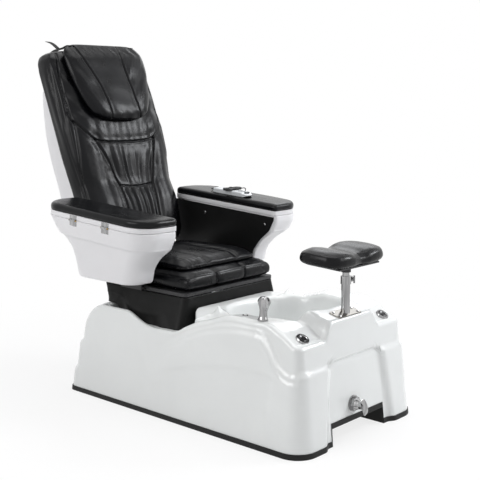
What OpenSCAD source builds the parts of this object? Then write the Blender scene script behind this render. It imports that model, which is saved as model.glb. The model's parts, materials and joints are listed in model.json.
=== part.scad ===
// Pedicure spa chair: a moulded foot tub with a reclining seat on top.
// The sitter faces -Y. Right and left are the sitter's own, so right is -X.

/* [Tub] */
// Width of the tub on the floor
base_w = 718; // [660:2:800]
// Length of the tub on the floor
base_l = 1222; // [1160:2:1260]
// Distance from the origin to the front of the tub
base_front = 775; // [750:1:800]
// Thickness of the moulded tub
tub_wall = 6; // [4:0.5:8]
// Height of the rim beside the basin
rim_z = 443; // [430:1:456]
// Height of the ledge that the seat stands on
ledge_z = 334; // [320:1:336]
// Length of the basin opening
basin_l = 444; // [420:2:456]
// Width of the basin opening
basin_w = 470; // [440:2:480]
// Height of the basin floor
basin_floor = 165; // [150:1:220]
// Width of the toe notch
notch_w = 318; // [280:2:330]
// Height of the toe notch
notch_h = 62; // [50:1:70]
// Depth of the toe notch
notch_d = 210; // [160:5:240]
// Height of the floor trim
trim_h = 20; // [14:1:26]
// Thickness of the floor trim
trim_t = 3; // [2:0.5:4]

/* [Water fittings] */
// Diameter of the round air controls
air_d = 50; // [40:1:56]
// Diameter of the drain tap's bore
tap_bore = 20; // [14:1:22]
// Length of the mixer's loop handle
mixer_h = 84; // [70:1:95]
// Diameter of the push button on the rim
push_d = 22; // [16:1:24]

/* [Footrest] */
// Outer diameter of the lower tube
post_d = 32; // [30:1:38]
// Outer diameter of the sliding tube
slide_d = 25; // [22:1:27]
// Height that the footrest can rise
foot_rise = 90; // [40:5:100]
// Width of the foot pad
foot_w = 345; // [300:5:380]
// Depth of the foot pad
foot_l = 196; // [170:2:210]
// Thickness of the foot pad
foot_t = 56; // [44:1:62]

/* [Seat] */
// Width of the seat cushion
seat_w = 500; // [460:2:508]
// Depth of the seat cushion
seat_l = 490; // [460:2:500]
// Thickness of the seat cushion
seat_t = 72; // [60:1:76]
// Travel of the seat along its rails
seat_travel = 90; // [40:5:100]
// Height of the seat rails
rail_z = 434; // [424:1:440]

/* [Back] */
// Width of the back cushion
back_w = 530; // [480:2:534]
// Height of the back cushion along its slope
back_h = 880; // [840:5:900]
// Lean of the back from upright
back_lean = 18; // [14:0.5:20]
// Furthest recline past the lean at rest
recline = 32; // [10:1:36]

/* [Armrests] */
// Gap between the two armrests
arm_gap = 562; // [556:2:580]
// Width of an armrest
arm_w = 182; // [160:2:190]
// Length of an armrest
arm_l = 575; // [540:5:600]
// Wall of an armrest box
arm_wall = 4; // [3:0.5:6]
// Thickness of the armrest pad
arm_pad_t = 24; // [18:1:34]
// Widest opening of an armrest lid
lid_open = 95; // [60:5:100]

/* [Hand control] */
// Length of the hand control
remote_l = 200; // [170:2:210]
// Width of the hand control
remote_w = 58; // [50:1:62]
// Thickness of the hand control
remote_t = 20; // [16:1:24]
// Diameter of the hand control's cord
cord_d = 4; // [3:0.5:4.5]

/* [Hidden] */

function ss(a, b, t) = let(u = min(1, max(0, (t - a) / (b - a)))) u * u * (3 - 2 * u);
function mix(a, b, t) = a + (b - a) * t;
fit = 0.2;
run_fit = 0.05;
$fn = 32;

function middle(ring) = [for (i = [0:2]) [for (p = ring) 1] * [for (p = ring) p[i]] / len(ring)];

// A closed solid through rings of points, anticlockwise from above, with a fan over each end
module loft(rings) {
    n = len(rings[0]);
    m = len(rings);
    points = concat([for (r = rings) each r], [middle(rings[0]), middle(rings[m - 1])]);
    faces = concat(
        [for (k = [0:m - 2]) for (i = [0:n - 1]) let(a = k * n + i, b = k * n + (i + 1) % n) each
            [[a, b + n, b], [a, a + n, b + n]]],
        [for (i = [0:n - 1]) let(j = (i + 1) % n) each
            [[m * n, i, j], [m * n + 1, (m - 1) * n + j, (m - 1) * n + i]]]);
    polyhedron(points, faces, convexity = 6);
}

// A stuffed solid: a grid of top points (rows run front to rear), rings down its side, a flat underside
function edge_of(rows, cols) = concat([for (c = [0:cols - 1]) c], [for (r = [1:rows - 1]) r * cols + cols - 1],
    [for (c = [cols - 2:-1:0]) (rows - 1) * cols + c], [for (r = [rows - 2:-1:1]) r * cols]);
module stuffed(grid, drop) {
    rows = len(grid);
    cols = len(grid[0]);
    top = [for (r = grid) each r];
    edge = edge_of(rows, cols);
    n = len(edge);
    m = len(drop);
    base = rows * cols;
    points = concat(top, [for (d = drop) for (e = edge) d(top[e])], [middle([for (e = edge) drop[m - 1](top[e])])]);
    function side(k, i) = k == 0 ? edge[i % n] : base + (k - 1) * n + i % n;
    faces = concat(
        [for (r = [0:rows - 2]) for (c = [0:cols - 2]) let(a = r * cols + c) each
            [[a, a + cols, a + cols + 1], [a, a + cols + 1, a + 1]]],
        [for (k = [0:m - 1]) for (i = [0:n - 1]) each
            [[side(k, i), side(k, i + 1), side(k + 1, i + 1)], [side(k, i), side(k + 1, i + 1), side(k + 1, i)]]],
        [for (i = [0:n - 1]) [base + m * n, side(m, i), side(m, i + 1)]]);
    polyhedron(points, faces, convexity = 6);
}
// How deep a place lies in the nearest of some seams, each of half-width w
function seam(v, places, w) = max([for (p = places) max(0, 1 - abs(v - p) / w)]);

// A flat shape drawn in [y, z], given a thickness t along X from x
module plate_x(x, t) { translate([x, 0, 0]) rotate([90, 0, 90]) linear_extrude(t) children(); }
module both_sides() { children(); mirror([1, 0, 0]) children(); }
module tube(h, r, bore) { difference() { cylinder(h = h, r = r); translate([0, 0, -1]) cylinder(h = h + 2, r = bore); } }

// ---------------------------------------------------------------- tub
hw = base_w / 2;
yf = -base_front;
yr = base_l - base_front;
front_r = 80;
rear_r = 32;
s_front = hw - front_r;
s_corner = s_front + front_r * PI / 2;
s_side = s_corner + yr - rear_r - yf - front_r;
s_end = s_side + rear_r * PI / 2;
s_all = s_end + hw - rear_r;
basin_y = -420;
plate_y = -690;
plate_z = 439;
plate_slope = 0.268;
air_x = hw - 116;
air_y = -686;
air_z = 387;
air_slope = 0.6;
air_sink = 0.6;
deck_z = 410;
deck_y = -150;
relief = 6;
rear_top = 388;
drain_r = 17;
tap_x = -22;
tap_z = 121;
tap_tail_r = 12;
air_tail_r = 17;
push_x = 91 - hw;
push_y = -450;
push_tail_r = 8;
mixer_x = 75 - hw;
mixer_y = -545;
mixer_tail_r = 12;
deck_tilt = atan(0.1);
rim_x = hw - 29;
module on_flat(side) { translate([side * air_x, air_y, air_z]) rotate([atan(air_slope), 0, 0]) children(); }
module on_deck(x, y) { translate([x, y, rim_z - 0.1 * (rim_x - abs(x))]) rotate([0, deck_tilt, 0]) children(); }

// Columns run round the tub: places on the floor outline from the front middle to the rear middle
half_s = concat([0, 60, 112, 140, notch_w / 2 - 1, notch_w / 2 + 1, 178, 200, 240, s_front],
    [for (i = [1:4]) mix(s_front, s_corner, i / 4)],
    [for (y = [-665, -630, -590, -545, -495, -440, -380, -320, -275, -240, -205, -150, -80, 20, 130, 230, 320])
        s_corner + y - yf - front_r],
    [s_side, (s_side + s_end) / 2, s_end, s_all - 200, s_all - 90, s_all]);
columns = concat([for (s = half_s) [s, 1]], [for (i = [len(half_s) - 2:-1:1]) [half_s[i], -1]]);

// Floor point [x, y] and the direction [x, y] that leads inwards
function floor_point(s) =
    s <= s_front ? [s, yf, 0, 1] :
    s <= s_corner ? let(a = (s - s_front) / (s_corner - s_front) * 90)
        [s_front + front_r * sin(a), yf + front_r - front_r * cos(a), -sin(a), cos(a)] :
    s <= s_side ? [hw, yf + front_r + s - s_corner, -1, 0] :
    s <= s_end ? let(a = (s - s_side) / (s_end - s_side) * 90)
        [hw - rear_r + rear_r * cos(a), yr - rear_r + rear_r * sin(a), -cos(a), 0] :
        [s_all - s, yr, 0, 0];

// Height of the tub's top at a place, in front of the seat and behind it
function rim_at(y) = ledge_z + 6 + (rim_z - ledge_z - 47) * ss(-140, -290, y)
    + 41 * ss(-260, -430, y) - 75 * ss(-560, -760, y);
function ledge_at(y) = ledge_z + 6 + 46 * ss(-70, 180, y);
function bridge_at(y) = plate_z + plate_slope * (y - plate_y);
function flat_at(y) = y < -640 ? air_z + air_slope * (y - air_y)
    : air_z + air_slope * (-640 - air_y) + 0.2 * (y + 640);
function deck_at(x, y) = let(ax = abs(x),
    front = mix(bridge_at(y), flat_at(y), ss(122, 165, ax)),
    side = rim_at(y) - 0.1 * (rim_x - ax))
    mix(front, side, ss(-658, -590, y) * ss(175, 240, ax));
function top_at(x, y) = y > -235 ? (y > -140 ? ledge_at(y) : rim_at(y)) : deck_at(x, y);

// How far the wall stands inside the floor outline at height z
function side_lean(y) = mix(0.10, 0.03, ss(-600, -200, y));
function arch_at(y) = y > -490 ? 414 - 0.00098 * pow(y + 490, 2) : 276 + 138 * (1 - ss(-540, -690, y));
function swell_at(y) = 272 - 0.00043 * pow(y + 540, 2);
function side_inset(y, z) = side_lean(y) * z
    + relief * ss(-40, -200, y) * (ss(arch_at(y) - 30, arch_at(y) - 14, z) + ss(arch_at(y) - 6, arch_at(y) + 10, z))
    + 7 * ss(swell_at(y) + 6, swell_at(y) - 22, z) * ss(trim_h, 130, z) * ss(-636, -608, y) * ss(60, -260, y);
function front_inset(x, z) = 0.10 * z + 2 * relief * ss(272, 298, z)
    + (relief + 10) * ss(26, -10, abs(x) - (168 - 0.155 * (z - 160))) * ss(300, 284, z);
function wall_inset(s, z) = let(p = floor_point(s))
    s <= s_front ? front_inset(s, z) :
    s <= s_corner ? mix(front_inset(s_front, z), side_inset(yf + front_r, z), (s - s_front) / (s_corner - s_front)) :
    side_inset(p[1], z);
function rear_at(z) = yr - 0.18 * z - 16 * ss(88, 118, z) - 20 * ss(205, 234, z)
    - (z < 270 ? 0 : 125 * (1 - sqrt(1 - pow(min(z - 270, 118) / 120, 2))));
function warp(y, z) = y > 0 ? y * rear_at(z) / yr : y;
function outline(s, inset, z) = let(p = floor_point(s)) [p[0] + p[2] * inset, warp(p[1] + p[3] * inset, z)];

// Which way the shell's inner side lies from its outer one
function inward_at(s) = let(p = floor_point(s)) s >= s_side ? [-sign(p[0]) * abs(p[2]), -1] : [p[2], p[3]];

is_rear = function(s) s > s_corner + (-235 - yf - front_r);
shoulder = 22;
function notch_at(s) = s > notch_w / 2 ? 0 : notch_h;
function inset_top(s) = wall_inset(s, is_rear(s) ? ledge_z : 400) + (is_rear(s) ? 10 : shoulder);
function top_z(s) = let(p = floor_point(s))
    s >= s_side ? rear_top : top_at(p[0] + p[2] * inset_top(s), p[1] + p[3] * inset_top(s));
wall_steps = [0, 0.05, 0.14, 0.26, 0.38, 0.47, 0.55, 0.62, 0.68, 0.74, 0.80, 0.86, 0.93, 1];

// Where the seat ledge ends in a riser below the deck
function riser_x(s) = (hw - 51) * (s_all - s) / (s_all - s_corner - (-240 - yf - front_r));
function riser_y(x) = deck_y - 88 * ss(195, 325, abs(x));

// Basin edge for each column
basin_angles = [[0, 0], [60, 14], [112, 27], [140, 34], [178, 42], [240, 50], [s_front, 56], [s_corner, 68],
    [s_corner + 100, 74], [s_corner + 200, 84], [s_corner + 320, 104], [s_corner + 420, 124],
    [s_corner + 490, 140], [s_corner + 900, 160], [s_all, 180]];
function basin_point(s, k) = let(a = lookup(s, basin_angles), e = 2 / 2.3)
    [basin_w / 2 * k * pow(sin(a), e), basin_y - basin_l / 2 * k * sign(cos(a)) * pow(abs(cos(a)), e)];
function basin_z(s) = let(e = basin_point(s, 1))
    mix(deck_at(e[0], e[1]), deck_z + 2, ss(-400, -250, e[1]));

// Each ring point is [x, y, z] followed by the step [x, y, z] to the tub's inner face
function ring_points(s) = let(
    p = floor_point(s),
    z0 = notch_at(s) + 4,
    zt = top_z(s),
    rear = is_rear(s),
    r = rear ? (s >= s_side ? 6 : 10) : shoulder,
    zs = zt - r,
    it = inset_top(s),
    is0 = wall_inset(s, zs),
    inward = inward_at(s),
    wall = [for (f = wall_steps) let(z = mix(z0, zs, f), q = outline(s, wall_inset(s, z), z))
        [q[0], q[1], z, inward[0] * tub_wall, inward[1] * tub_wall, 0]],
    round = [for (a = [30, 60, 90]) let(z = zs + r * sin(a), q = outline(s, mix(is0, it, 1 - cos(a)), min(z, 386)))
        [q[0], q[1], z, inward[0] * tub_wall * cos(a),
            s >= s_side ? -tub_wall - a / 90 : inward[1] * tub_wall * cos(a), -tub_wall * sin(a)]],
    back = [-inward[0] * tub_wall, -inward[1] * tub_wall],
    t = round[2],
    e = basin_point(s, 1),
    rx = riser_x(s),
    inner = rear
        ? [let(q = outline(s, it + 2 * tub_wall, zt), d = s >= s_side ? 2 * tub_wall + 2 : 0)
               [q[0], q[1] - d, zt - 3, back[0], back[1], -tub_wall],
           let(q = outline(s, it + 2 * tub_wall + 3, zt), d = s >= s_side ? 2 * tub_wall + 5 : 0)
               [q[0], q[1] - d, ledge_z, back[0], back[1], -tub_wall],
           [rx, riser_y(rx) + 1, ledge_z, 0, -tub_wall, -tub_wall],
           [rx, riser_y(rx) - 1, deck_z - 18 * ss(200, 325, rx), 0, -tub_wall, -tub_wall]]
        : [for (u = [0.06, 0.14, 0.25, 0.38]) let(x = mix(t[0], e[0], u), y = mix(t[1], e[1], u))
            [x, y, deck_at(x, y), 0, 0, -tub_wall]],
    l = inner[3],
    deck = [for (u = rear ? [0.3, 0.6, 1] : [0.25, 0.6, 1]) let(x = mix(l[0], e[0], u), y = mix(l[1], e[1], u))
        [x, y, rear ? mix(l[2], basin_z(s), u) : mix(deck_at(x, y), basin_z(s), ss(0.6, 1, u)), 0, 0, -tub_wall]],
    ze = basin_z(s),
    out = [sin(lookup(s, basin_angles)), -cos(lookup(s, basin_angles))],
    bowl = [for (b = [[0.975, ze - 4, 0.5], [0.93, ze - 20, 1], [0.88, mix(ze, basin_floor, 0.35), 1],
            [0.80, basin_floor + 45, 1], [0.73, basin_floor + 14, 0.7], [0.62, basin_floor, 0]])
        let(q = basin_point(s, b[0])) [q[0], q[1], b[1], out[0] * tub_wall * b[2], out[1] * tub_wall * b[2],
            -tub_wall * (1 - b[2] * 0.8)]])
    concat(wall, round, inner, deck, bowl);

rings = [for (c = columns) [for (q = ring_points(c[0])) [q[0] * c[1], q[1], q[2], q[3] * c[1], q[4], q[5]]]];
ring_n = len(rings[0]);
col_n = len(columns);

module tub_shell() {
    outer = [for (c = rings) for (q = c) [q[0], q[1], q[2]]];
    inner = [for (c = rings) for (q = c) [q[0] + q[3], q[1] + q[4], q[2] + q[5]]];
    n = col_n * ring_n;
    points = concat(outer, inner, [[0, basin_y, basin_floor], [0, basin_y, basin_floor - tub_wall]]);
    function at(i, k) = (i % col_n) * ring_n + k;
    faces = concat(
        [for (i = [0:col_n - 1]) for (k = [0:ring_n - 2]) each [
            [at(i, k), at(i, k + 1), at(i + 1, k + 1)], [at(i, k), at(i + 1, k + 1), at(i + 1, k)],
            [n + at(i, k), n + at(i + 1, k + 1), n + at(i, k + 1)], [n + at(i, k), n + at(i + 1, k), n + at(i + 1, k + 1)]]],
        [for (i = [0:col_n - 1]) each [
            [at(i, ring_n - 1), 2 * n, at(i + 1, ring_n - 1)], [n + at(i, ring_n - 1), n + at(i + 1, ring_n - 1), 2 * n + 1],
            [at(i, 0), at(i + 1, 0), n + at(i + 1, 0)], [at(i, 0), n + at(i + 1, 0), n + at(i, 0)]]]);
    color("white") difference() {
        polyhedron(points, faces, convexity = 12);
        translate([0, basin_y, basin_floor - 20]) cylinder(h = 40, r = drain_r + 1, $fn = 48);
        translate([tap_x, yf, tap_z]) rotate([-90, 0, 0]) cylinder(h = 80, r = tap_tail_r + fit, $fn = 48);
        for (k = [-1, 1]) on_flat(k) {
            translate([0, 0, -20]) cylinder(h = 40, r = air_tail_r + fit, $fn = 48);
            translate([0, 0, -air_sink]) cylinder(h = 20, r = air_d / 2 + fit, $fn = 48);
        }
        on_deck(push_x, push_y) translate([0, 0, -20]) cylinder(h = 40, r = push_tail_r + fit, $fn = 48);
        on_deck(mixer_x, mixer_y) translate([0, 0, -20]) cylinder(h = 40, r = mixer_tail_r + fit, $fn = 48);
        translate([0, plate_y, plate_z - 40]) cylinder(h = 80, r = post_d / 2 + fit, $fn = 48);
    }
}

module base_trim() {
    gap = 0.15;
    profile = [for (c = columns) let(s = c[0], z0 = notch_at(s), z1 = z0 + trim_h, z4 = z0 + 4, d = inward_at(s)) [for (q = [
        [-trim_t, z1], [-trim_t, z0], [tub_wall, z0], [tub_wall, z4], [-gap, z4], [-gap, z1]])
        let(p = outline(s, wall_inset(s, q[1]), q[1])) [(p[0] + q[0] * d[0]) * c[1], p[1] + q[0] * d[1], q[1]]]];
    points = [for (c = profile) each c];
    faces = [for (i = [0:col_n - 1]) for (k = [0:5]) let(a = i * 6 + k, b = i * 6 + (k + 1) % 6,
        c = (i + 1) % col_n * 6 + (k + 1) % 6, d = (i + 1) % col_n * 6 + k) each [[a, c, b], [a, d, c]]];
    color("black") polyhedron(points, faces, convexity = 8);
}

liner_t = 4;
module toe_kick_liner() {
    half = notch_w / 2 + 1;
    top = notch_h + 4;
    face = yf + relief + 10 + tub_wall + 0.3;
    module side_shape(t) { polygon([[face, 0], [face + 0.1 * (top + t), top + t], [yf + notch_d, top + t], [yf + notch_d, 0]]); }
    color("black") difference() {
        plate_x(-half - liner_t, 2 * (half + liner_t)) side_shape(liner_t);
        translate([-half, yf - 1, -1]) cube([2 * half, notch_d - liner_t + 1, top + 1]);
    }
}

// Welded frame under the shell: long beams at each side, legs, uprights and cross bars
beam = 30;
frame_x = 200;
module bar(x0, x1, y0, y1, z0, z1) { translate([x0, y0, z0]) cube([x1 - x0, y1 - y0, z1 - z0]); }
module inner_frame() {
    b = beam / 2;
    module across(y, z0) { bar(-frame_x - b, frame_x + b, y - b, y + b, z0, z0 + beam); }
    color("silver") {
        for (k = [-1, 1]) {
            bar(k * frame_x - b, k * frame_x + b, plate_y - b, 380, 60, 60 + beam);
            bar(k * frame_x - b, k * frame_x + b, -120, 275, ledge_z - tub_wall - beam, ledge_z - tub_wall);
            for (y = [plate_y, -105, 260])
                bar(k * frame_x - b, k * frame_x + b, y - b, y + b, 60, y == plate_y ? 300 : ledge_z - tub_wall);
            for (y = [plate_y, -105, 360])
                bar(k * frame_x - b, k * frame_x + b, y - b, y + b, 12, 60);
            for (y = [basin_y - 60, basin_y + 60])
                bar(k * frame_x - b, k * frame_x + b, y - b, y + b, 60, basin_floor - tub_wall);
        }
        for (y = [basin_y - 60, basin_y + 60])
            bar(-frame_x - b, frame_x + b, y - b, y + b, basin_floor - tub_wall - 20, basin_floor - tub_wall);
        across(-105, 60);
        across(360, 60);
        across(-105, ledge_z - tub_wall - beam);
        across(260, ledge_z - tub_wall - beam);
        across(plate_y, 300);
    }
}
module levelling_feet() {
    color("black") for (k = [-1, 1]) for (y = [plate_y, -105, 360]) translate([k * frame_x, y, 0])
        rotate_extrude() polygon([[0, 0], [16, 0], [16, 4], [6, 8], [6, 12], [0, 12]]);
}

// Drain from the basin to the tap on the front
module drain_strainer() {
    color("silver") difference() {
        translate([0, basin_y, basin_floor]) rotate_extrude()
            polygon([[drain_r - 3, -48], [drain_r, -48], [drain_r, 0], [32, 0], [32, 1], [29, 3],
                [0, 3], [0, 1], [drain_r - 3, 1]]);
        for (a = [0:45:315]) translate([9 * cos(a), basin_y + 9 * sin(a), basin_floor - 1]) cylinder(h = 6, r = 2.6);
    }
}
pipe_r = 14;
module drain_pipe() {
    end_y = yf + 44;
    yaw = atan2(-tap_x, basin_y - end_y);
    run = norm([tap_x, end_y - basin_y]);
    color("gray") difference() {
        union() {
            translate([0, basin_y, tap_z - 22]) cylinder(h = 49, r = drain_r + 5);
            translate([0, basin_y, tap_z]) rotate([90, 0, -yaw]) cylinder(h = run, r = pipe_r);
            translate([tap_x, yf + 37, tap_z]) rotate([-90, 0, 0]) cylinder(h = 31, r = tap_tail_r + 4);
        }
        translate([0, basin_y, tap_z - 18]) cylinder(h = 60, r = drain_r + run_fit);
        translate([0, basin_y, tap_z]) rotate([90, 0, -yaw]) cylinder(h = run - 10, r = pipe_r - 3);
        translate([tap_x, yf, tap_z]) rotate([-90, 0, 0]) cylinder(h = 66, r = tap_tail_r + run_fit);
    }
}

// Drain tap: a screwed body with a lever that turns a quarter turn about its axis
wall_y = yf + relief + 10 + 0.1 * tap_z;
lever_y = wall_y - 49;
module on_tap(y) { translate([tap_x, y, tap_z]) rotate([90, 0, 0]) children(); }
module tap_body() {
    color("silver") difference() {
        union() {
            translate([tap_x, wall_y - 0.1, tap_z]) rotate([90 - atan(0.1), 0, 0]) cylinder(h = 4, r = 30);
            on_tap(wall_y - 3) cylinder(h = 13, r = 26, $fn = 6);
            on_tap(wall_y - 15) cylinder(h = 16, r1 = 20, r2 = 15, $fn = 48);
            on_tap(wall_y - 30) cylinder(h = 14, r = 15);
            on_tap(wall_y + 36) cylinder(h = 36, r = tap_tail_r);
        }
        on_tap(wall_y + 61) cylinder(h = 90, r = tap_bore / 2);
        on_tap(wall_y - 28) cylinder(h = 20, r = 6 + run_fit);
    }
}
module tap_lever() {
    color("silver") translate([tap_x, lever_y, tap_z]) rotate([90, 0, 0]) {
        rotate([0, 0, 22]) difference() {
            union() {
                translate([0, -11, -5]) intersection() {
                    union() {
                        translate([-11, -20, 0]) cube([22, 48, 9]);
                        for (y = [-20, 28]) translate([0, y, 0]) cylinder(h = 9, r = 11);
                    }
                    translate([0, 4, -62]) rotate([0, 90, 0]) cylinder(h = 40, r = 71, center = true, $fn = 96);
                }
            }
            translate([0, 0, -30]) cylinder(h = 20, r = 30);
        }
        translate([0, 0, -21]) cylinder(h = 18, r = 6);
    }
}

// Round air controls on the two front corners
module air_bezel() {
    low = run_fit - air_sink;
    color("silver") rotate_extrude() polygon([[12, -24], [air_tail_r, -24], [air_tail_r, low], [air_d / 2, low],
        [air_d / 2, 3], [air_d / 2 - 2, 7], [18.5, 7], [16.5, 3.2], [12, 3.2]]);
}
module air_knob() {
    color("black") {
        rotate_extrude() polygon([[0, -18], [12 - run_fit, -18], [12 - run_fit, 3.3], [16, 3.3], [16, 5],
            [14.5, 6.2], [9, 4.6], [0, 4.2]]);
        translate([-12, -1.5, 4]) cube([24, 3, 2.4]);
    }
}
// Push button on the rim
push_throw = 3;
module push_bezel() {
    color("silver") on_deck(push_x, push_y) rotate_extrude() polygon([[5 + run_fit, -20], [push_tail_r, -20],
        [push_tail_r, 0], [push_d / 2, 0], [push_d / 2, 2], [push_d / 2 - 1.5, 4], [5 + run_fit + 1, 4], [5 + run_fit, 3]]);
}
module push_button() {
    color("white") on_deck(push_x, push_y) rotate_extrude() polygon([[0, -14], [5, -14], [5, 5.5], [4, 6.5], [0, 6.8]]);
}

// Water control: a waisted stem and a tulip handle that turns on it
mixer_waist = mixer_h * 0.42;
module mixer_body() {
    color("silver") on_deck(mixer_x, mixer_y) rotate_extrude($fn = 64) polygon([[0, -30], [mixer_tail_r, -30],
        [mixer_tail_r, 0], [19, 0], [19, 3], [17, 6], [14.5, 14], [13.5, mixer_waist], [9, mixer_waist],
        [9, mixer_waist + 14], [0, mixer_waist + 14]]);
}
module mixer_handle() {
    h = mixer_h;
    w = mixer_waist + 0.2;
    color("silver") on_deck(mixer_x, mixer_y) difference() {
        rotate_extrude($fn = 64) polygon([[0, w + 15], [9 + run_fit, w + 15], [9 + run_fit, w], [14, w],
            [17, w + 12], [21, w + 22], [23, w + 29], [22.5, w + 35], [19, w + 41], [15, h - 3], [12.5, h - 1], [0, h]]);
        for (a = [0:60:300]) rotate([0, 0, a]) translate([28.5, 0, w + 20]) cylinder(h = 30, r = 6.5);
    }
}

// Footrest: plate and fixed tube, a sliding tube, a clamp ring with its screw, and the foot pad
plate_t = 4;
tube_base = 330;
tube_top = 545;
ring_h = 29;
screw_x = slide_d / 2 + 14.2;
slide_base = 350;
slide_top = 604;
module on_bridge() { translate([0, plate_y, plate_z]) rotate([atan(plate_slope), 0, 0]) children(); }
module footrest_plate() {
    color("silver") difference() {
        on_bridge() translate([0, 0, 0.1]) linear_extrude(plate_t) difference() {
            union() {
                square([135 - 12, 50], center = true);
                square([135, 50 - 12], center = true);
                for (x = [-61.5, 61.5]) for (y = [-19, 19]) translate([x, y]) circle(r = 6);
            }
            for (x = [-54, 54]) for (y = [-15, 15]) translate([x, y]) circle(r = 3.05);
        }
        translate([0, plate_y, plate_z - 60]) cylinder(h = 120, r = post_d / 2 + run_fit, $fn = 48);
    }
}
module plate_screws() {
    color("silver") for (x = [-54, 54]) for (y = [-15, 15]) on_bridge() translate([x, y, 0]) rotate_extrude()
        polygon([[0, 0.2], [3, 0.2], [3, plate_t + 0.1], [5.5, plate_t + 0.1], [5.5, plate_t + 1.5], [3.5, plate_t + 3], [0, plate_t + 3]]);
}
module footrest_tube() {
    color("silver") translate([0, plate_y, tube_base])
        tube(tube_top - tube_base, post_d / 2, slide_d / 2 + run_fit, $fn = 64);
}
module clamp_ring() {
    color("silver") translate([0, plate_y, tube_top]) difference() {
        union() {
            cylinder(h = ring_h, r = slide_d / 2 + 6.5, $fn = 64);
            translate([0, -7, 4]) cube([slide_d / 2 + 20, 14, ring_h - 8]);
        }
        translate([0, 0, -1]) cylinder(h = ring_h + 2, r = slide_d / 2 + run_fit, $fn = 64);
        translate([0, -1, -1]) cube([60, 2, ring_h + 2]);
        translate([screw_x, 10, ring_h / 2]) rotate([90, 0, 0]) cylinder(h = 20, r = 3 + run_fit);
    }
}
module clamp_screw() {
    color("silver") translate([screw_x, plate_y, tube_top + ring_h / 2]) rotate([90, 0, 0]) {
        translate([0, 0, -10]) cylinder(h = 17.2, r = 3);
        translate([0, 0, 7.2]) cylinder(h = 8, r = 7);
        translate([-2, -14, 15]) cube([4, 28, 5]);
    }
}
module slide_tube() {
    color("silver") translate([0, plate_y, slide_base]) tube(slide_top - slide_base, slide_d / 2, slide_d / 2 - 2, $fn = 64);
}
foot_tilt = 3;
foot_z = 622;
foot_back = 20;
module on_foot() { translate([0, plate_y, foot_z]) rotate([foot_tilt, 0, 0]) children(); }
module pad_bracket() {
    color("black") difference() {
        union() {
            translate([0, plate_y, slide_top - 16]) cylinder(h = 30, r = slide_d / 2 + 5, $fn = 64);
            on_foot() translate([-120, -60, -6]) cube([240, 120, 6]);
        }
        translate([0, plate_y, slide_top - 30]) cylinder(h = 30, r = slide_d / 2 + run_fit, $fn = 64);
        on_foot() translate([-200, -200, 0]) cube([400, 400, 60]);
    }
}
foot_us = [-1, -0.93, -0.82, -0.66, -0.48, -0.30, -0.14, 0, 0.14, 0.30, 0.48, 0.66, 0.82, 0.93, 1];
foot_vs = [-1, -0.9, -0.72, -0.42, -0.1, 0.25, 0.55, 0.8, 0.93, 1];
module foot_pad() {
    // Two lobes with a saddle between them, narrower in the middle
    function waist(u) = 1 - 0.10 * exp(-pow(u / 0.22, 2)) - 0.24 * pow(abs(u), 5);
    grid = [for (v = foot_vs) [for (u = foot_us) let(e = pow(abs(u), 6) + pow(abs(v), 6))
        [foot_w / 2 * u * (1 - 0.10 * pow(v, 4)) - 8 * sign(u) * pow(abs(u), 9), foot_l / 2 * v * waist(u) * 0.96,
            foot_t - 4 - 13 * exp(-pow(u / 0.30, 2)) - 8 * min(1.6, e) - 4 * pow(abs(v), 3) + 4 * pow(u, 2)]]];
    drop = [for (d = [[1.03, 0.72], [1.04, 0.42], [1, 0.14], [0.93, 0]]) function(p) [p[0] * d[0], p[1] * d[0], p[2] * d[1]]];
    color("black") on_foot() translate([0, foot_back, 0.2]) stuffed(grid, drop);
}

// ---------------------------------------------------------------- seat
// Everything on the seat follows the height of its rails
lift = rail_z - 434;
module on_seat() { translate([0, 0, lift]) children(); }
module rounded_rect(x0, x1, y0, y1, r) {
    translate([x0 + r, y0]) square([x1 - x0 - 2 * r, y1 - y0]);
    translate([x0, y0 + r]) square([x1 - x0, y1 - y0 - 2 * r]);
    for (x = [x0 + r, x1 - r]) for (y = [y0 + r, y1 - r]) translate([x, y]) circle(r = r);
}
// Rounded rectangle about the origin, anticlockwise, with extra points at xs and ys on its straight sides
function pad_outline(a, b, r, xs, ys) = concat(
    [for (x = xs) [x, -b]], [for (t = [-90:30:0]) [a - r + r * cos(t), -b + r + r * sin(t)]],
    [for (y = ys) [a, y]], [for (t = [0:30:90]) [a - r + r * cos(t), b - r + r * sin(t)]],
    [for (x = xs) [-x, b]], [for (t = [90:30:180]) [-a + r + r * cos(t), b - r + r * sin(t)]],
    [for (y = ys) [-a, -y]], [for (t = [180:30:270]) [-a + r + r * cos(t), -b + r + r * sin(t)]]);
// A closed band: the last ring joins the first
module sleeve(rings) {
    n = len(rings[0]);
    m = len(rings);
    faces = [for (k = [0:m - 1]) for (i = [0:n - 1]) let(j = (i + 1) % n, up = (k + 1) % m) each
        [[k * n + i, up * n + j, k * n + j], [k * n + i, up * n + i, up * n + j]]];
    polyhedron([for (r = rings) each r], faces, convexity = 6);
}

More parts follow.
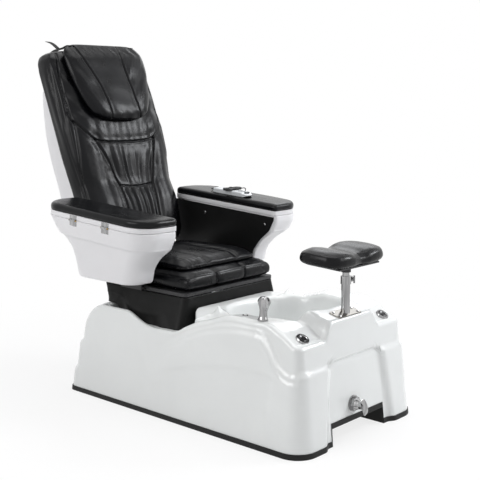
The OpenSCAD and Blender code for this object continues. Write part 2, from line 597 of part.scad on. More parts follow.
seat_end = seat_l - 131;
pan_y0 = -138;
pan_y1 = seat_end - 25;
skirt_top = rail_z + 18;
skirt_t = 3;
skirt_folds = [for (i = [0:41]) 2.5 * sin(i * 97) + 2 * sin(i * 41 + 30)];
function skirt_ring(h, inset) = let(
    w = mix(302, 260, pow(h, 0.8)) - inset,
    front = mix(-146, -140, h) + inset,
    rear = mix(pan_y1 - 58, pan_y1, h) - inset,
    o = pad_outline(w, (rear - front) / 2, 26 - inset, [-180, -120, -60, 0, 60, 120, 180], [-140, -85, -30, 30, 85, 140]))
    [for (i = [0:len(o) - 1]) let(k = 1 - (3 + skirt_folds[i]) * (1 - h) * 0.0035, y = (front + rear) / 2 + o[i][1] * k,
        low = mix(ledge_z, rear_top + 3, ss(150, 215, y))) [o[i][0] * k, y, mix(low, skirt_top, h)]];
module seat_skirt() {
    levels = [0, 0.3, 0.65, 1];
    color("black") sleeve(concat([for (h = levels) skirt_ring(h, 0)],
        [for (i = [3:-1:0]) skirt_ring(levels[i], skirt_t)]));
}

stand_y0 = -125;
stand_y1 = 265;
stand_rear = 190;
module seat_stand() {
    b = beam / 2;
    top = rail_z - 10;
    color("silver") {
        for (k = [-1, 1]) {
            bar(k * frame_x - b, k * frame_x + b, stand_y0, stand_y1, top - beam, top);
            for (y = [stand_y0 + b, stand_rear]) bar(k * frame_x - b, k * frame_x + b, y - b, y + b, ledge_z, top);
            bar(k * frame_x - 20, k * frame_x + 20, stand_y0, stand_y1 + 10, top, top + 4);
            bar(k * frame_x - 6, k * frame_x + 6, stand_y0, stand_y1 + 10, top + 4, top + 17);
            bar(k * frame_x - 13, k * frame_x + 13, stand_y0, stand_y1 + 10, top + 16, top + 22);
        }
        for (y = [stand_y0 + b, stand_rear]) bar(-frame_x - b, frame_x + b, y - b, y + b, top - beam, top);
    }
}
// Rails that slide forwards on the stand with 0.3 of play round its T-shaped heads
moving_y0 = -30;
moving_y1 = 270;
pan_z = 462;
module moving_rails() {
    play = 0.3;
    color("gray") on_seat() for (k = [-1, 1]) translate([k * frame_x, 0, 0]) difference() {
        bar(-20, 20, moving_y0, moving_y1, 432, pan_z);
        bar(-13 - play, 13 + play, moving_y0 - 1, moving_y1 + 1, 440 - play, 446 + play);
        bar(-6 - play, 6 + play, moving_y0 - 1, moving_y1 + 1, 430, 441);
    }
}

pan_t = 6;
module seat_pan() {
    color("black") on_seat() difference() {
        translate([0, 0, pan_z - 7]) linear_extrude(pan_t + 7) rounded_rect(-258, 258, pan_y0, pan_y1, 20);
        translate([0, 0, pan_z - 8]) linear_extrude(8) rounded_rect(-252, 252, pan_y0 + 6, pan_y1 - 6, 14);
        bar(-300, 300, 79, 201, pan_z - 8, pan_z);
        for (k = [-1, 1]) bar(k * 231 - 14, k * 231 + 14, pan_y1 - 10, pan_y1 + 10, pan_z - 8, pan_z);
    }
}
cushion_y = seat_end - seat_l / 2;
seat_us = [-1, -0.93, -0.80, -0.62, -0.42, -0.34, -0.26, -0.1, 0.1, 0.26, 0.34, 0.42, 0.62, 0.80, 0.93, 1];
seat_vs = [-1, -0.94, -0.82, -0.6, -0.3, 0, 0.3, 0.6, 0.82, 0.94, 1];
module seat_cushion() {
    a = seat_w / 2 / 1.045;
    b = seat_l / 2 / 1.045;
    function bite(x) = seam(x / a, [-0.34, 0.34], 0.09);
    grid = [for (v = seat_vs) [for (u = seat_us)
        [a * u * (1 - 0.018 * pow(v, 8)), b * v * (1 - 0.018 * pow(u, 8)) * (1 + 0.01 * (1 - u * u)),
            seat_t - 10 * min(1.5, pow(abs(u), 14) + pow(abs(v), 14)) - 4 * bite(a * u) * pow(abs(v), 8)]]];
    drop = [for (d = [[1.035, 0.76], [1.045, 0.48], [1.02, 0.16], [0.93, 0]])
        function(p) [p[0] * d[0], p[1] * (d[0] - 0.02 * bite(p[0])), p[2] * d[1]]];
    color("black") on_seat() translate([0, cushion_y, pan_z + pan_t]) stuffed(grid, drop);
}
pad_us = [-1, -0.93, -0.80, -0.64, -0.50, -0.40, -0.32, -0.16, 0, 0.16, 0.32, 0.40, 0.50, 0.64, 0.80, 0.93, 1];
module seat_pad() {
    a = 214;
    b = 209;
    grid = [for (v = seat_vs) [for (u = pad_us)
        [a * u * (1 - 0.06 * pow(v, 8)), b * v * (1 - 0.06 * pow(u, 8)),
            44 - 18 * min(1.4, pow(abs(u), 8) + pow(abs(v), 8)) - 4 * seam(u, [-0.40, 0.40], 0.1) + 3 * (1 - u * u) * (1 - v * v)]]];
    drop = [for (d = [[1.02, 0.7], [1.03, 0.4], [0.99, 0.12], [0.93, 0]])
        function(p) [p[0] * d[0], p[1] * d[0], p[2] * d[1]]];
    color("black") on_seat() translate([0, 120, pan_z + pan_t + seat_t + 0.2]) stuffed(grid, drop);
}

// ---------------------------------------------------------------- back
pivot_y = seat_end + 71;
pivot_z = 500;
pin_r = 8;
// In the back's own frame Y runs up its slope and Z points forwards
module on_back() { on_seat() translate([0, pivot_y, pivot_z]) rotate([90 - back_lean, 0, 0]) children(); }
function rear_plane(u) = -6 - 0.055 * (u - 56);
module back_brackets() {
    color("gray") on_seat() both_sides() difference() {
        union() {
            plate_x(220.3, 8) polygon([[205, 456], [205, 462], [pan_y1 + 32, 462], [pivot_y - 18, pivot_z + 8],
                [pivot_y + 2, pivot_z], [pivot_y + 14, pivot_z - 14], [pivot_y - 18, 456]]);
            plate_x(220.3, 8) translate([pivot_y, pivot_z]) circle(r = 20);
            bar(222, 250, 205, 303, 456, 462);
        }
        plate_x(200, 60) translate([pivot_y, pivot_z]) circle(r = pin_r + run_fit, $fn = 48);
    }
}
module recline_pins() {
    color("silver") on_seat() both_sides() translate([204, pivot_y, pivot_z]) rotate([0, 90, 0]) {
        cylinder(h = 24.4, r = pin_r, $fn = 48);
        translate([0, 0, 24.4]) cylinder(h = 4, r = 12);
        translate([0, 0, 0.8]) cylinder(h = 3, r = 11);
    }
}
back_low = 56;
module back_frame() {
    color("gray") on_back() difference() {
        union() {
            both_sides() plate_x(208, 12) {
                polygon([[40, rear_plane(40) - 0.2], [700, rear_plane(700) - 0.2], [700, rear_plane(700) - 25],
                    [40, rear_plane(40) - 25]]);
                polygon([[-6, -17], [40, -30], [100, -33], [100, -8.7], [52, -6], [6, 17]]);
                circle(r = 18);
            }
            for (u = [110, 300, 500, 660]) plate_x(-210, 420)
                polygon([[u, rear_plane(u) - 0.2], [u + 30, rear_plane(u + 30) - 0.2], [u + 30, rear_plane(u) - 24], [u, rear_plane(u) - 24]]);
        }
        plate_x(-240, 480) circle(r = pin_r + run_fit, $fn = 48);
    }
}

// Hard shell behind the cushion; depth of its rear face at a height up the slope
function shell_depth(u) = lookup(u, [[60, -105], [100, -125], [150, -134], [314, -138], [391, -139], [489, -147],
    [623, -137], [776, -92], [812, -66]]);
shell_w = 235;
shell_mid = 436;
shell_t = 4;
module back_shell() {
    outline = pad_outline(shell_w, 376, 45, [-110, 0, 110], [-270, -180, -90, 0, 90, 190, 280]);
    function ring(inset, f, t) = [for (q = outline) let(
        x = q[0] * (1 - (inset + t) / shell_w), u = shell_mid + q[1] * (1 - (inset + t) / 376))
        [x, u, mix(rear_plane(u) - 0.2, shell_depth(u) + t, f)]];
    steps = [[150, 1], [75, 1], [32, 0.97], [12, 0.86], [3, 0.6], [0, 0]];
    color("white") on_back() difference() {
        loft(concat([for (s = steps) ring(s[0], s[1], 0)], [for (i = [5:-1:0]) ring(steps[i][0], steps[i][1], shell_t)]));
        both_sides() translate([206, 40, -40]) cube([16, 66, 60]);
    }
}

back_us = [-1, -0.94, -0.84, -0.72, -0.63, -0.58, -0.52, -0.38, -0.26, -0.13, 0, 0.13, 0.26, 0.38, 0.52, 0.58, 0.63, 0.72,
    0.84, 0.94, 1];
back_rows = [62, 78, 110, 160, 200, 244, 290, 334, 390, 453, 510, 567, 620, 655, 700, 770, 849, 890, 914, 926];
function bolster(u) = lookup(u, [[62, 84], [78, 100], [110, 110], [160, 114], [244, 114], [334, 98], [453, 109], [567, 113],
    [655, 104], [700, 98], [849, 80], [890, 73], [914, 64], [926, 50]]);
function back_half(u) = lookup(u, [[62, 240], [110, 248], [334, 256], [470, 266], [849, 266], [890, 260], [914, 245], [926, 215]]);
module back_cushion() {
    k = back_w / 530;
    stretch = back_h / 880;
    function up(u) = back_low + (u - back_low) * stretch;
    grid = [for (u = back_rows) [for (t = back_us) let(
        edge = pow(abs(t), 8), hollow = 22 * ss(0.66, 0.56, abs(t)) * ss(690, 600, u) * ss(62, 110, u),
        pleat = 3.5 * cos(t * 1385) * ss(0.60, 0.50, abs(t)) * ss(620, 560, u),
        yoke = 6 * seam(u, [655], 50) * ss(0.9, 0.7, abs(t)))
        [k * back_half(u) * t * 0.98, up(u), bolster(u) - 24 * edge - hollow + pleat - yoke
            - 5 * seam(abs(t), [0.63], 0.05) * ss(700, 640, u)]]];
    middle_u = up(496);
    drop = [for (d = [[1.012, 0.22, 5], [1.028, 0.5, 10], [1.02, 0.8, 8], [0.95, 1, -6]])
        function(p) let(u = p[1] + d[2] * ((p[1] > middle_u ? 1 : -1) * pow(abs(p[1] - middle_u) / 440, 12)))
            [p[0] * d[0], u, mix(p[2], rear_plane(u), d[1])]];
    color("black") on_back() stuffed(grid, drop);
}
head_us = [-1, -0.92, -0.75, -0.58, -0.50, -0.42, -0.2, 0, 0.2, 0.42, 0.50, 0.58, 0.75, 0.92, 1];
head_vs = [-1, -0.92, -0.75, -0.4, 0, 0.4, 0.75, 0.92, 1];
head_slope = atan(-0.118);
head_mid = 764;
module head_cushion() {
    grid = [for (v = head_vs) [for (u = head_us)
        [187 * u * (1 - 0.06 * pow(v, 8)) * mix(1.02, 0.92, (1 - v) / 2), 160 * v * (1 - 0.07 * pow(u, 8)),
            38 - 12 * min(1.5, pow(abs(u), 8) + pow(abs(v), 8)) - 5 * seam(u, [-0.50, 0.50], 0.1)]]];
    drop = [for (d = [[1.02, 0.72], [1.035, 0.42], [1.01, 0.14], [0.95, 0]])
        function(p) [p[0] * d[0], p[1] * d[0], p[2] * d[1]]];
    color("black") on_back() translate([0, head_mid, bolster(700) - 0.118 * (head_mid - 700) + 0.15]) rotate([head_slope, 0, 0])
        stuffed(grid, drop);
}
strap_t = 3;
// From the front, over the top and down behind: height past the head cushion's middle, and depth
strap_path = [for (p = [[166.8, 98], [167.8, 52], [173, 22], [177, -4], [175, -36], [160, -55.5], [60, -48.9]])
    [head_mid + p[0], p[1]]];
module head_straps() {
    n = len(strap_path);
    function away(i) = let(p = strap_path[max(0, i - 1)], q = strap_path[min(n - 1, i + 1)], d = q - p) [-d[1], d[0]] / norm(d);
    color("black") on_back() both_sides() plate_x(150, 28)
        polygon(concat(strap_path, [for (i = [n - 1:-1:0]) strap_path[i] + strap_t * away(i)]));
}

// ---------------------------------------------------------------- armrests
arm_in = arm_gap / 2;
arm_y0 = -127;
arm_y1 = arm_y0 + arm_l + 15;
panel_t = 4;
seam_z = 717;
seam_slope = 0.065;
seam_tilt = atan(seam_slope);
// Height, front, rear and how far the outer face stands in, from the top of a box down to its bottom
arm_steps = [[seam_z, 0, 0, 0], [690, 1, -21, 0], [655, 19, -51, 4], [642, 27, -59, 22], [600, 78, -91, 44],
    [555, 113, -106, 54], [506, 127, -117, 60], [497, 140, -128, 72]];
function arm_ring(front, rear, outer, inset, inner) = let(
    x0 = inner + inset, x1 = outer - inset, y0 = front + inset, y1 = rear - inset,
    big = min(95, 0.52 * (outer - inner)) - inset, small = max(4, 15 - inset))
    concat([for (t = [180:45:270]) [x0 + small + small * cos(t), y0 + small + small * sin(t)]],
        [for (t = [270:11.25:360]) [x1 - big + big * cos(t), y0 + big + big * sin(t)]],
        [for (t = [0:11.25:90]) [x1 - big + big * cos(t), y1 - big + big * sin(t)]],
        [for (t = [90:45:180]) [x0 + small + small * cos(t), y1 - small + small * sin(t)]]);
module on_seam() { on_seat() translate([0, 0, seam_z]) rotate([seam_tilt, 0, 0]) children(); }
module arm_box() {
    function ring(s, inset, rise) = [for (q = arm_ring(arm_y0 + s[1], arm_y1 + s[2], arm_in + arm_w - s[3], inset, arm_in + panel_t))
        [q[0], q[1], s[0] + rise + seam_slope * q[1] * ss(530, 642, s[0])]];
    color("white") on_seat() loft(concat([for (i = [7:-1:0]) ring(arm_steps[i], 0, 0)],
        [for (i = [0:6]) ring(arm_steps[i], arm_wall, i == 6 ? arm_wall : 0)]));
}
module side_panels() {
    color("black") on_seat() both_sides() difference() {
        plate_x(arm_in, panel_t) polygon([[-118, 704], [-116, 690], [-93, 646], [-42, 602], [-8, 560], [8, 508],
            [arm_y1 - 8, 508], [arm_y1, 516], [arm_y1, seam_z + seam_slope * arm_y1 - 4]]);
        for (p = screw_places) plate_x(arm_in - 1, 10) translate(p) circle(r = 2.5 + run_fit);
    }
}
screw_places = [[-70, 671], [275, 695]];
module panel_screws() {
    color("silver") on_seat() both_sides() for (p = screw_places) translate([arm_in, p[0], p[1]]) rotate([0, 90, 0])
        rotate_extrude() polygon([[0, -3], [3.5, -3], [6, -1], [6, 0], [2.5, 0], [2.5, panel_t - 0.2], [0, panel_t - 0.2]]);
}
// Steel angles from the seat pan up the inner side of each armrest
module arm_brackets() {
    color("black") on_seat() both_sides() {
        bar(arm_in - 4, arm_in, 80, 200, 456, 560);
        bar(frame_x + 22, arm_in, 80, 200, 456, pan_z);
    }
}
lid_t = 20;
module lid() {
    color("white") on_seam() difference() {
        translate([0, 0, 0.2]) linear_extrude(lid_t - 0.2) polygon(arm_ring(arm_y0, arm_y1, arm_in + arm_w, 0, arm_in));
        translate([0, 0, -1]) linear_extrude(lid_t - 3) polygon(arm_ring(arm_y0, arm_y1, arm_in + arm_w, arm_wall, arm_in + panel_t));
    }
}
pad_crown = 6;
module lid_pad() {
    function ring(inset, z) = [for (q = arm_ring(arm_y0, arm_y1, arm_in + arm_w, inset, arm_in)) [q[0], q[1], z]];
    color("black") on_seam() loft([ring(5, lid_t + 0.1), ring(1, lid_t + 6), ring(0.2, lid_t + arm_pad_t * 0.5),
        ring(2, lid_t + arm_pad_t * 0.85), ring(8, lid_t + arm_pad_t + 4), ring(22, lid_t + arm_pad_t + pad_crown)]);
}
// Lid hinges on the outer side: leaves below and above the seam, with a pin through their knuckles
hinge_ys = [73, 260];
hinge_x = arm_in + arm_w + 4.5;
knuckle_r = 4;
leaf_t = 1.5;
hinge_pin_r = 2;
module knuckle(y0, y1) { translate([hinge_x, y0, 0]) rotate([-90, 0, 0]) cylinder(h = y1 - y0, r = knuckle_r); }
module pin_hole() {
    translate([hinge_x, -30, 0]) rotate([-90, 0, 0]) cylinder(h = 60, r = hinge_pin_r + run_fit, $fn = 48);
}
module hinge_leaves() {
    out = arm_in + arm_w;
    color("silver") both_sides() on_seam() for (y = hinge_ys) translate([0, y, 0]) difference() {
        union() {
            bar(out, out + leaf_t, -20, 20, -22, -4.5);
            bar(out, out + leaf_t, -8, 8, -6, 0);
            bar(out, hinge_x, -8, 8, -6, 0);
            knuckle(-8, 8);
        }
        pin_hole();
    }
}
module lid_leaves() {
    out = arm_in + arm_w;
    color("silver") on_seam() for (y = hinge_ys) translate([0, y, 0]) difference() {
        union() {
            bar(out, out + leaf_t, -20, 20, 4.5, 19);
            for (k = [-1, 1]) {
                bar(out, hinge_x, k * 13.1 - 4.9, k * 13.1 + 4.9, 0.3, 6);
                knuckle(k * 13.1 - 4.9, k * 13.1 + 4.9);
            }
        }
        pin_hole();
    }
}
module hinge_pins() {
    color("goldenrod") both_sides() on_seam() for (y = hinge_ys) translate([hinge_x, y, 0]) rotate([-90, 0, 0]) {
        translate([0, 0, -18]) cylinder(h = 36.2, r = hinge_pin_r, $fn = 48);
        for (z = [-20, 18.2]) translate([0, 0, z]) cylinder(h = 2, r = 3);
    }
}

// ---------------------------------------------------------------- hand control, on the left lid's pad
control_x = 332;
control_y = 162;
control_z = lid_t + arm_pad_t + pad_crown;
module on_control() { on_seam() translate([control_x, control_y, control_z + 0.1]) children(); }
key_ys = [-84, -64, -44];
key_travel = 1.2;
module key_outline(grow) {
    square([22 + 2 * grow, 8 + 2 * grow], center = true);
    for (x = [-11, 11]) translate([x, 0]) circle(r = 4 + grow);
}
module hand_control() {
    w = remote_w / 2;
    l = remote_l / 2;
    color("lightgray") on_control() difference() {
        intersection() {
            linear_extrude(remote_t) rounded_rect(-w, w, -l, l, 22);
            plate_x(-w, 2 * w) polygon([[-l + 14, 0], [l - 8, 0], [l, 5], [l, remote_t - 4], [l - 6, remote_t],
                [-l + 26, remote_t], [-l + 6, remote_t - 5], [-l, remote_t - 9], [-l, 6]]);
        }
        for (y = key_ys) translate([0, y, remote_t - 4.5]) linear_extrude(10) key_outline(0.15);
    }
}
module control_key(i) {
    color("dimgray") on_control() translate([0, key_ys[i], remote_t - 4.5 + key_travel + 0.1]) linear_extrude(4.7) key_outline(0);
}
relief_l = 14;
module cord_strain_relief() {
    color("black") on_control() translate([0, remote_l / 2, remote_t / 2]) rotate([-90, 0, 0]) difference() {
        cylinder(h = relief_l, r1 = 6, r2 = 4);
        translate([0, 0, 4]) cylinder(h = relief_l, r = cord_d / 2 + run_fit);
    }
}

// The cord: a tube swept along a path, with every ring square to it
function unit(v) = v / norm(v);
function along(path, i) = unit(path[min(len(path) - 1, i + 1)] - path[max(0, i - 1)]);
function carried(path, i, n) = i == len(path) ? [] : let(t = along(path, i), m = unit(n - (n * t) * t))
    concat([[m, cross(t, m)]], carried(path, i + 1, m));
module swept(path, r, sides) {
    frames = carried(path, 0, [0, 0, 1]);
    loft([for (i = [0:len(path) - 1]) [for (k = [0:sides - 1]) let(a = 360 * k / sides)
        path[i] + r * (cos(a) * frames[i][0] + sin(a) * frames[i][1])]]);
}
// A smooth path through hand-chosen places, with a few steps in each gap
function smooth(p, steps) = concat([for (i = [0:len(p) - 2]) for (k = [0:steps - 1]) let(
    t = k / steps, a = p[max(0, i - 1)], b = p[i], c = p[i + 1], d = p[min(len(p) - 1, i + 2)])
    0.5 * (2 * b + (c - a) * t + (2 * a - 5 * b + 4 * c - d) * t * t + (3 * b - a - 3 * c + d) * t * t * t)],
    [p[len(p) - 1]]);

// Hank: loops that spiral in on the lower layer, climb, and spiral out on the upper one
hank_pitch = cord_d + 1.25;
hank_in = 2.1 * cord_d;
hank_out = hank_in + 2 * hank_pitch;
hank_run = 34;
hank_z = remote_t + 0.3 + cord_d / 2;
hank_loops = 4.5;
hank_steps = 24;
hank_x = 0;
hank_y = 0;
function hank_rho(t) = t < 2 ? hank_out - hank_pitch * t : t < 2.5 ? hank_in : hank_in + hank_pitch * (t - 2.5);
function hank_height(t) = hank_z + hank_pitch * ss(2, 2.5, t);
// One loop: a run at the rear, the end at -X, a run at the front, the end at +X
function hank_place(t) = let(
    f = (t - floor(t)) * 4, r = hank_rho(t), q = f - floor(f),
    waist = function(x) 3.2 * pow(cos(x * 90 / hank_run), 2))
    f < 1 ? let(x = hank_run * (1 - 2 * q)) [x, r - waist(x)] :
    f < 2 ? [-hank_run - r * sin(180 * q), r * cos(180 * q)] :
    f < 3 ? let(x = hank_run * (2 * q - 1)) [x, -r + waist(x)] :
        [hank_run + r * sin(180 * q), -r * cos(180 * q)];
hank_path = concat([[hank_run + 2 * cord_d, hank_out, hank_z], [hank_run + cord_d, hank_out, hank_z]],
    [for (i = [0:hank_loops * hank_steps + hank_steps / 4]) let(t = i / hank_steps, p = hank_place(t)) [p[0], p[1], hank_height(t)]],
    [[hank_run + cord_d, -hank_rho(4.75), hank_height(4.75)], [hank_run + 2 * cord_d, -hank_rho(4.75), hank_height(4.75)]]);
hank_gap = min([for (i = [0:len(hank_path) - 1]) for (j = [i + 6:1:len(hank_path) - 1])
    norm(hank_path[i] - hank_path[j])]) - cord_d;
module cord_hank() {
    echo(hank_gap = hank_gap);
    color("black") on_control() translate([hank_x, hank_y, 0]) swept(hank_path, cord_d / 2, 6);
}
hank_end = hank_path[len(hank_path) - 1];
gland_place = [52, 132, 6];
route_in = concat([[0, remote_l / 2 + relief_l, 10], [0, 118, 10], [2, 126, 9], [10, 134, 6], [22, 130, 4], [32, 116, 3],
    [40, 96, 3], [50, 70, 3], [62, 46, 6], [70, 30, 14], [64, hank_out, hank_z - 1], [hank_run + 2 * cord_d + 7, hank_out, hank_z],
    [hank_run + 2 * cord_d + 3, hank_out, hank_z]], [hank_path[0]]);
route_out = concat([hank_end, hank_end + [3, 0, 0], hank_end + [7, 0, 0]], [[58, hank_end[1] - 0.5, hank_end[2] - 2],
    [70, -14, 18], [80, -2, 7], [84, 14, 3], [84, 40, 3], [80, 80, 3], [66, 106, 3], [54, 116, 4], [52, 122, 6], [52, 128, 6],
    gland_place]);
module cord_to_control() { color("black") on_control() swept(smooth(route_in, 3), cord_d / 2, 8); }
module cord_to_gland() { color("black") on_control() swept(smooth(route_out, 3), cord_d / 2, 8); }
module cord_gland() {
    color("black") on_control() translate(gland_place + [0, 0, -6]) difference() {
        union() {
            translate([0, 12, 0]) cylinder(h = 12, r = 8);
            translate([0, 12, 6]) rotate([90, 0, 0]) cylinder(h = 12, r = 5);
        }
        translate([0, -1, 6]) rotate([-90, 0, 0]) cylinder(h = 1, r = 1);
    }
}

// The tap's lever and the tilted back stand out unequally, so all is moved to centre the whole length
centre_shift = 14.35;
module placed() { translate([0, centre_shift, 0]) children(); }

placed() tub_shell();
placed() base_trim();
placed() toe_kick_liner();
placed() inner_frame();
placed() levelling_feet();
placed() drain_strainer();
placed() drain_pipe();
placed() tap_body();
placed() tap_lever();
placed() on_flat(-1) air_bezel();  // air_bezel_right
placed() on_flat(1) air_bezel();  // air_bezel_left
placed() on_flat(-1) air_knob();  // air_knob_right
placed() on_flat(1) air_knob();  // air_knob_left
placed() push_bezel();
placed() push_button();
placed() mixer_body();
placed() mixer_handle();
placed() footrest_plate();
placed() plate_screws();
placed() footrest_tube();
placed() clamp_ring();
placed() clamp_screw();
placed() slide_tube();
placed() pad_bracket();
placed() foot_pad();
placed() seat_skirt();
placed() seat_stand();
placed() moving_rails();
placed() seat_pan();
placed() seat_cushion();
placed() seat_pad();
placed() back_brackets();
placed() recline_pins();
placed() back_frame();
placed() back_shell();
placed() back_cushion();
placed() head_cushion();
placed() head_straps();
placed() mirror([1, 0, 0]) arm_box();  // arm_box_right
placed() arm_box();  // arm_box_left
placed() side_panels();
placed() panel_screws();
placed() arm_brackets();
placed() mirror([1, 0, 0]) lid();  // lid_right
placed() lid();  // lid_left
placed() mirror([1, 0, 0]) lid_pad();  // lid_pad_right
placed() lid_pad();  // lid_pad_left
placed() hinge_leaves();
placed() mirror([1, 0, 0]) lid_leaves();  // lid_leaves_right
placed() lid_leaves();  // lid_leaves_left
placed() hinge_pins();
placed() hand_control();
placed() control_key(0);  // key_recline
placed() control_key(1);  // key_seat
placed() control_key(2);  // key_massage
placed() cord_strain_relief();
placed() cord_to_control();
placed() cord_hank();
placed() cord_to_gland();
placed() cord_gland();
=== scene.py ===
import json
import math
import bpy
import numpy as np
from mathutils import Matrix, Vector, noise

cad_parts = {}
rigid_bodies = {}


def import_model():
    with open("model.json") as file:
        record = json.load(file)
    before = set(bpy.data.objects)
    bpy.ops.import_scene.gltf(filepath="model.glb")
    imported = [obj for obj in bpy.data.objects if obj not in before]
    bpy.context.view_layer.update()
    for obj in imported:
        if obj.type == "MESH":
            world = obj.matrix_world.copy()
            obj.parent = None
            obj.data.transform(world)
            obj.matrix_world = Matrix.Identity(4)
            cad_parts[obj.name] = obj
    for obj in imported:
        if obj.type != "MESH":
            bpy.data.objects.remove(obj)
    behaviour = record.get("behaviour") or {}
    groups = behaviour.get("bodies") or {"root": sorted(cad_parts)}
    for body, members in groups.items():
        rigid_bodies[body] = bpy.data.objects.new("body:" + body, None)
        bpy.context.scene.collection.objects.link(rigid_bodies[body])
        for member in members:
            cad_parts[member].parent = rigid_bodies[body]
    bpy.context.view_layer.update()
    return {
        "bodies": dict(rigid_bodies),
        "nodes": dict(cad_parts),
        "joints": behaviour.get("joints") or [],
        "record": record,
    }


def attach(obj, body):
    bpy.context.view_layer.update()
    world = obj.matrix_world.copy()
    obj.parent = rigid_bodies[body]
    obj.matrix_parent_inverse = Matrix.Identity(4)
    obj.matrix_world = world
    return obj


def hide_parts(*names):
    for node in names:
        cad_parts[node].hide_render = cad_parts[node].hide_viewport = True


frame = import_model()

nodes = frame["nodes"]
mm = 0.001
centreShift = 14.35     # the part is moved this far along Y so that its origin is below its middle


# ---- helpers for making and finishing meshes

def addToScene(name, data):
    made = bpy.data.objects.new(name, data)
    bpy.context.scene.collection.objects.link(made)
    return made


def deselectAll():
    if bpy.context.object and bpy.context.object.mode != "OBJECT":
        bpy.ops.object.mode_set(mode="OBJECT")
    bpy.ops.object.select_all(action="DESELECT")


def pick(piece):
    deselectAll()
    piece.select_set(True)
    bpy.context.view_layer.objects.active = piece


def finishWith(piece, kind, **settings):
    pick(piece)
    made = piece.modifiers.new(kind.title(), kind)
    for key, value in settings.items():
        setattr(made, key, value)
    bpy.ops.object.modifier_apply(modifier=made.name)


def thicken(piece, wall):
    finishWith(piece, "SOLIDIFY", thickness=wall * mm, offset=-1)


def soften(piece, passes, **settings):
    finishWith(piece, "SMOOTH", factor=0.5, iterations=passes, **settings)


def refine(piece):
    finishWith(piece, "SUBSURF", levels=1, render_levels=1)


def editWith(piece, *steps):
    pick(piece)
    bpy.ops.object.mode_set(mode="EDIT")
    bpy.ops.mesh.select_all(action="SELECT")
    for step, settings in steps:
        step(**settings)
    bpy.ops.object.mode_set(mode="OBJECT")


def mergeDoubles(piece, gap=0.00002, turnOut=True):
    merge = (bpy.ops.mesh.remove_doubles, {"threshold": gap})
    turn = (bpy.ops.mesh.normals_make_consistent, {"inside": False})
    editWith(piece, merge, *([turn] if turnOut else []))


def flip(piece):
    editWith(piece, (bpy.ops.mesh.flip_normals, {}))


def smooth(piece, angle=None):
    pick(piece)
    if angle is None:
        bpy.ops.object.shade_smooth()
    else:
        bpy.ops.object.shade_smooth_by_angle(angle=math.radians(angle))


def vectors(piece, key):
    out = np.empty(len(piece.data.vertices) * 3)
    piece.data.vertices.foreach_get(key, out)
    return out.reshape(-1, 3)


def points(piece):
    return vectors(piece, "co")


def normals(piece):
    return vectors(piece, "normal")


def setPoints(piece, co):
    piece.data.vertices.foreach_set("co", np.ascontiguousarray(co, float).ravel())
    piece.data.update()


def press(piece, depth):        # depth in millimetres at each point, inwards
    setPoints(piece, points(piece) - normals(piece) * (depth * mm)[:, None])


capSteps = (0, 0.35, 0.7, 0.92)     # the rows of a cap, as shares of the ring that it closes


def capRows(ring, steps):
    middle = ring.mean(0)
    return [middle + (ring - middle) * f for f in steps]


def gridPiece(name, rows, ringClosed=True, loopClosed=False, capStart=False, capEnd=False):
    grid = np.array(rows, float)
    if capStart:
        grid = np.concatenate([capRows(grid[0], capSteps), grid])
    if capEnd:
        grid = np.concatenate([grid, capRows(grid[-1], capSteps[::-1])])
    if ringClosed:
        grid = np.concatenate([grid, grid[:, :1]], 1)
    if loopClosed:
        grid = np.concatenate([grid, grid[:1]], 0)
    deselectAll()
    bpy.ops.mesh.primitive_grid_add(x_subdivisions=grid.shape[1] - 1, y_subdivisions=grid.shape[0] - 1,
                                    size=1, location=(0, 0, 0))
    piece = bpy.context.object
    piece.name = piece.data.name = name
    co = grid.reshape(-1, 3).copy()
    co[:, 1] += centreShift
    setPoints(piece, co * mm)
    mergeDoubles(piece)
    smooth(piece)
    return piece


def faceOut(piece, way):
    way = np.array(way, float)
    if normals(piece)[int(np.argmax(points(piece) @ way))] @ way < 0:
        flip(piece)


def shellPiece(name, rows, way, wall, angle=None, **ends):
    piece = gridPiece(name, rows, **ends)
    faceOut(piece, way)
    thicken(piece, wall)
    smooth(piece, angle)
    return piece


def mirrored(piece, name):
    pick(piece)
    bpy.ops.object.duplicate()
    other = bpy.context.object
    other.name = other.data.name = name
    setPoints(other, points(other) * (-1, 1, 1))
    flip(other)
    return other


def copyOf(node, name):
    deselectAll()
    piece = addToScene(name, nodes[node].data.copy())
    piece.data.materials.clear()
    mergeDoubles(piece, 0.00001, turnOut=False)
    return piece


# ---- helpers for shapes

def ease(low, high, t):
    u = np.clip((np.asarray(t, float) - low) / (high - low), 0, 1)
    return u * u * (3 - 2 * u)


def mix(a, b, t):
    return a + (b - a) * t


def along(path, x):
    path = np.array(path, float)
    return np.interp(x, path[:, 0], path[:, 1])


def curved(rows, steps):
    keys = np.array(rows, float)
    out = []
    for i in range(len(keys) - 1):
        a, b, c, d = keys[max(0, i - 1)], keys[i], keys[i + 1], keys[min(len(keys) - 1, i + 2)]
        for k in range(steps):
            t = k / steps
            out.append(0.5 * (2 * b + (c - a) * t + (2 * a - 5 * b + 4 * c - d) * t * t
                              + (3 * b - a - 3 * c + d) * t ** 3))
    return np.array(out + [keys[-1]])


def evenRing(ring, count):
    ring = np.array(list(ring) + [ring[0]], float)
    length = np.concatenate([[0], np.cumsum(np.linalg.norm(np.diff(ring, axis=0), axis=1))])
    at = np.linspace(0, length[-1], count + 1)[:-1]
    return np.stack([np.interp(at, length, ring[:, i]) for i in range(ring.shape[1])], 1)


def quarter(cx, cy, r, start, count=13):
    return [(cx + r * math.cos(a), cy + r * math.sin(a)) for a in np.radians(np.linspace(start, start + 90, count))]


def cornered(a, b, r):      # a rectangle of half sizes a and b with round corners
    return (quarter(a - r, -b + r, r, 270) + quarter(a - r, b - r, r, 0)
            + quarter(-a + r, b - r, r, 90) + quarter(-a + r, -b + r, r, 180))


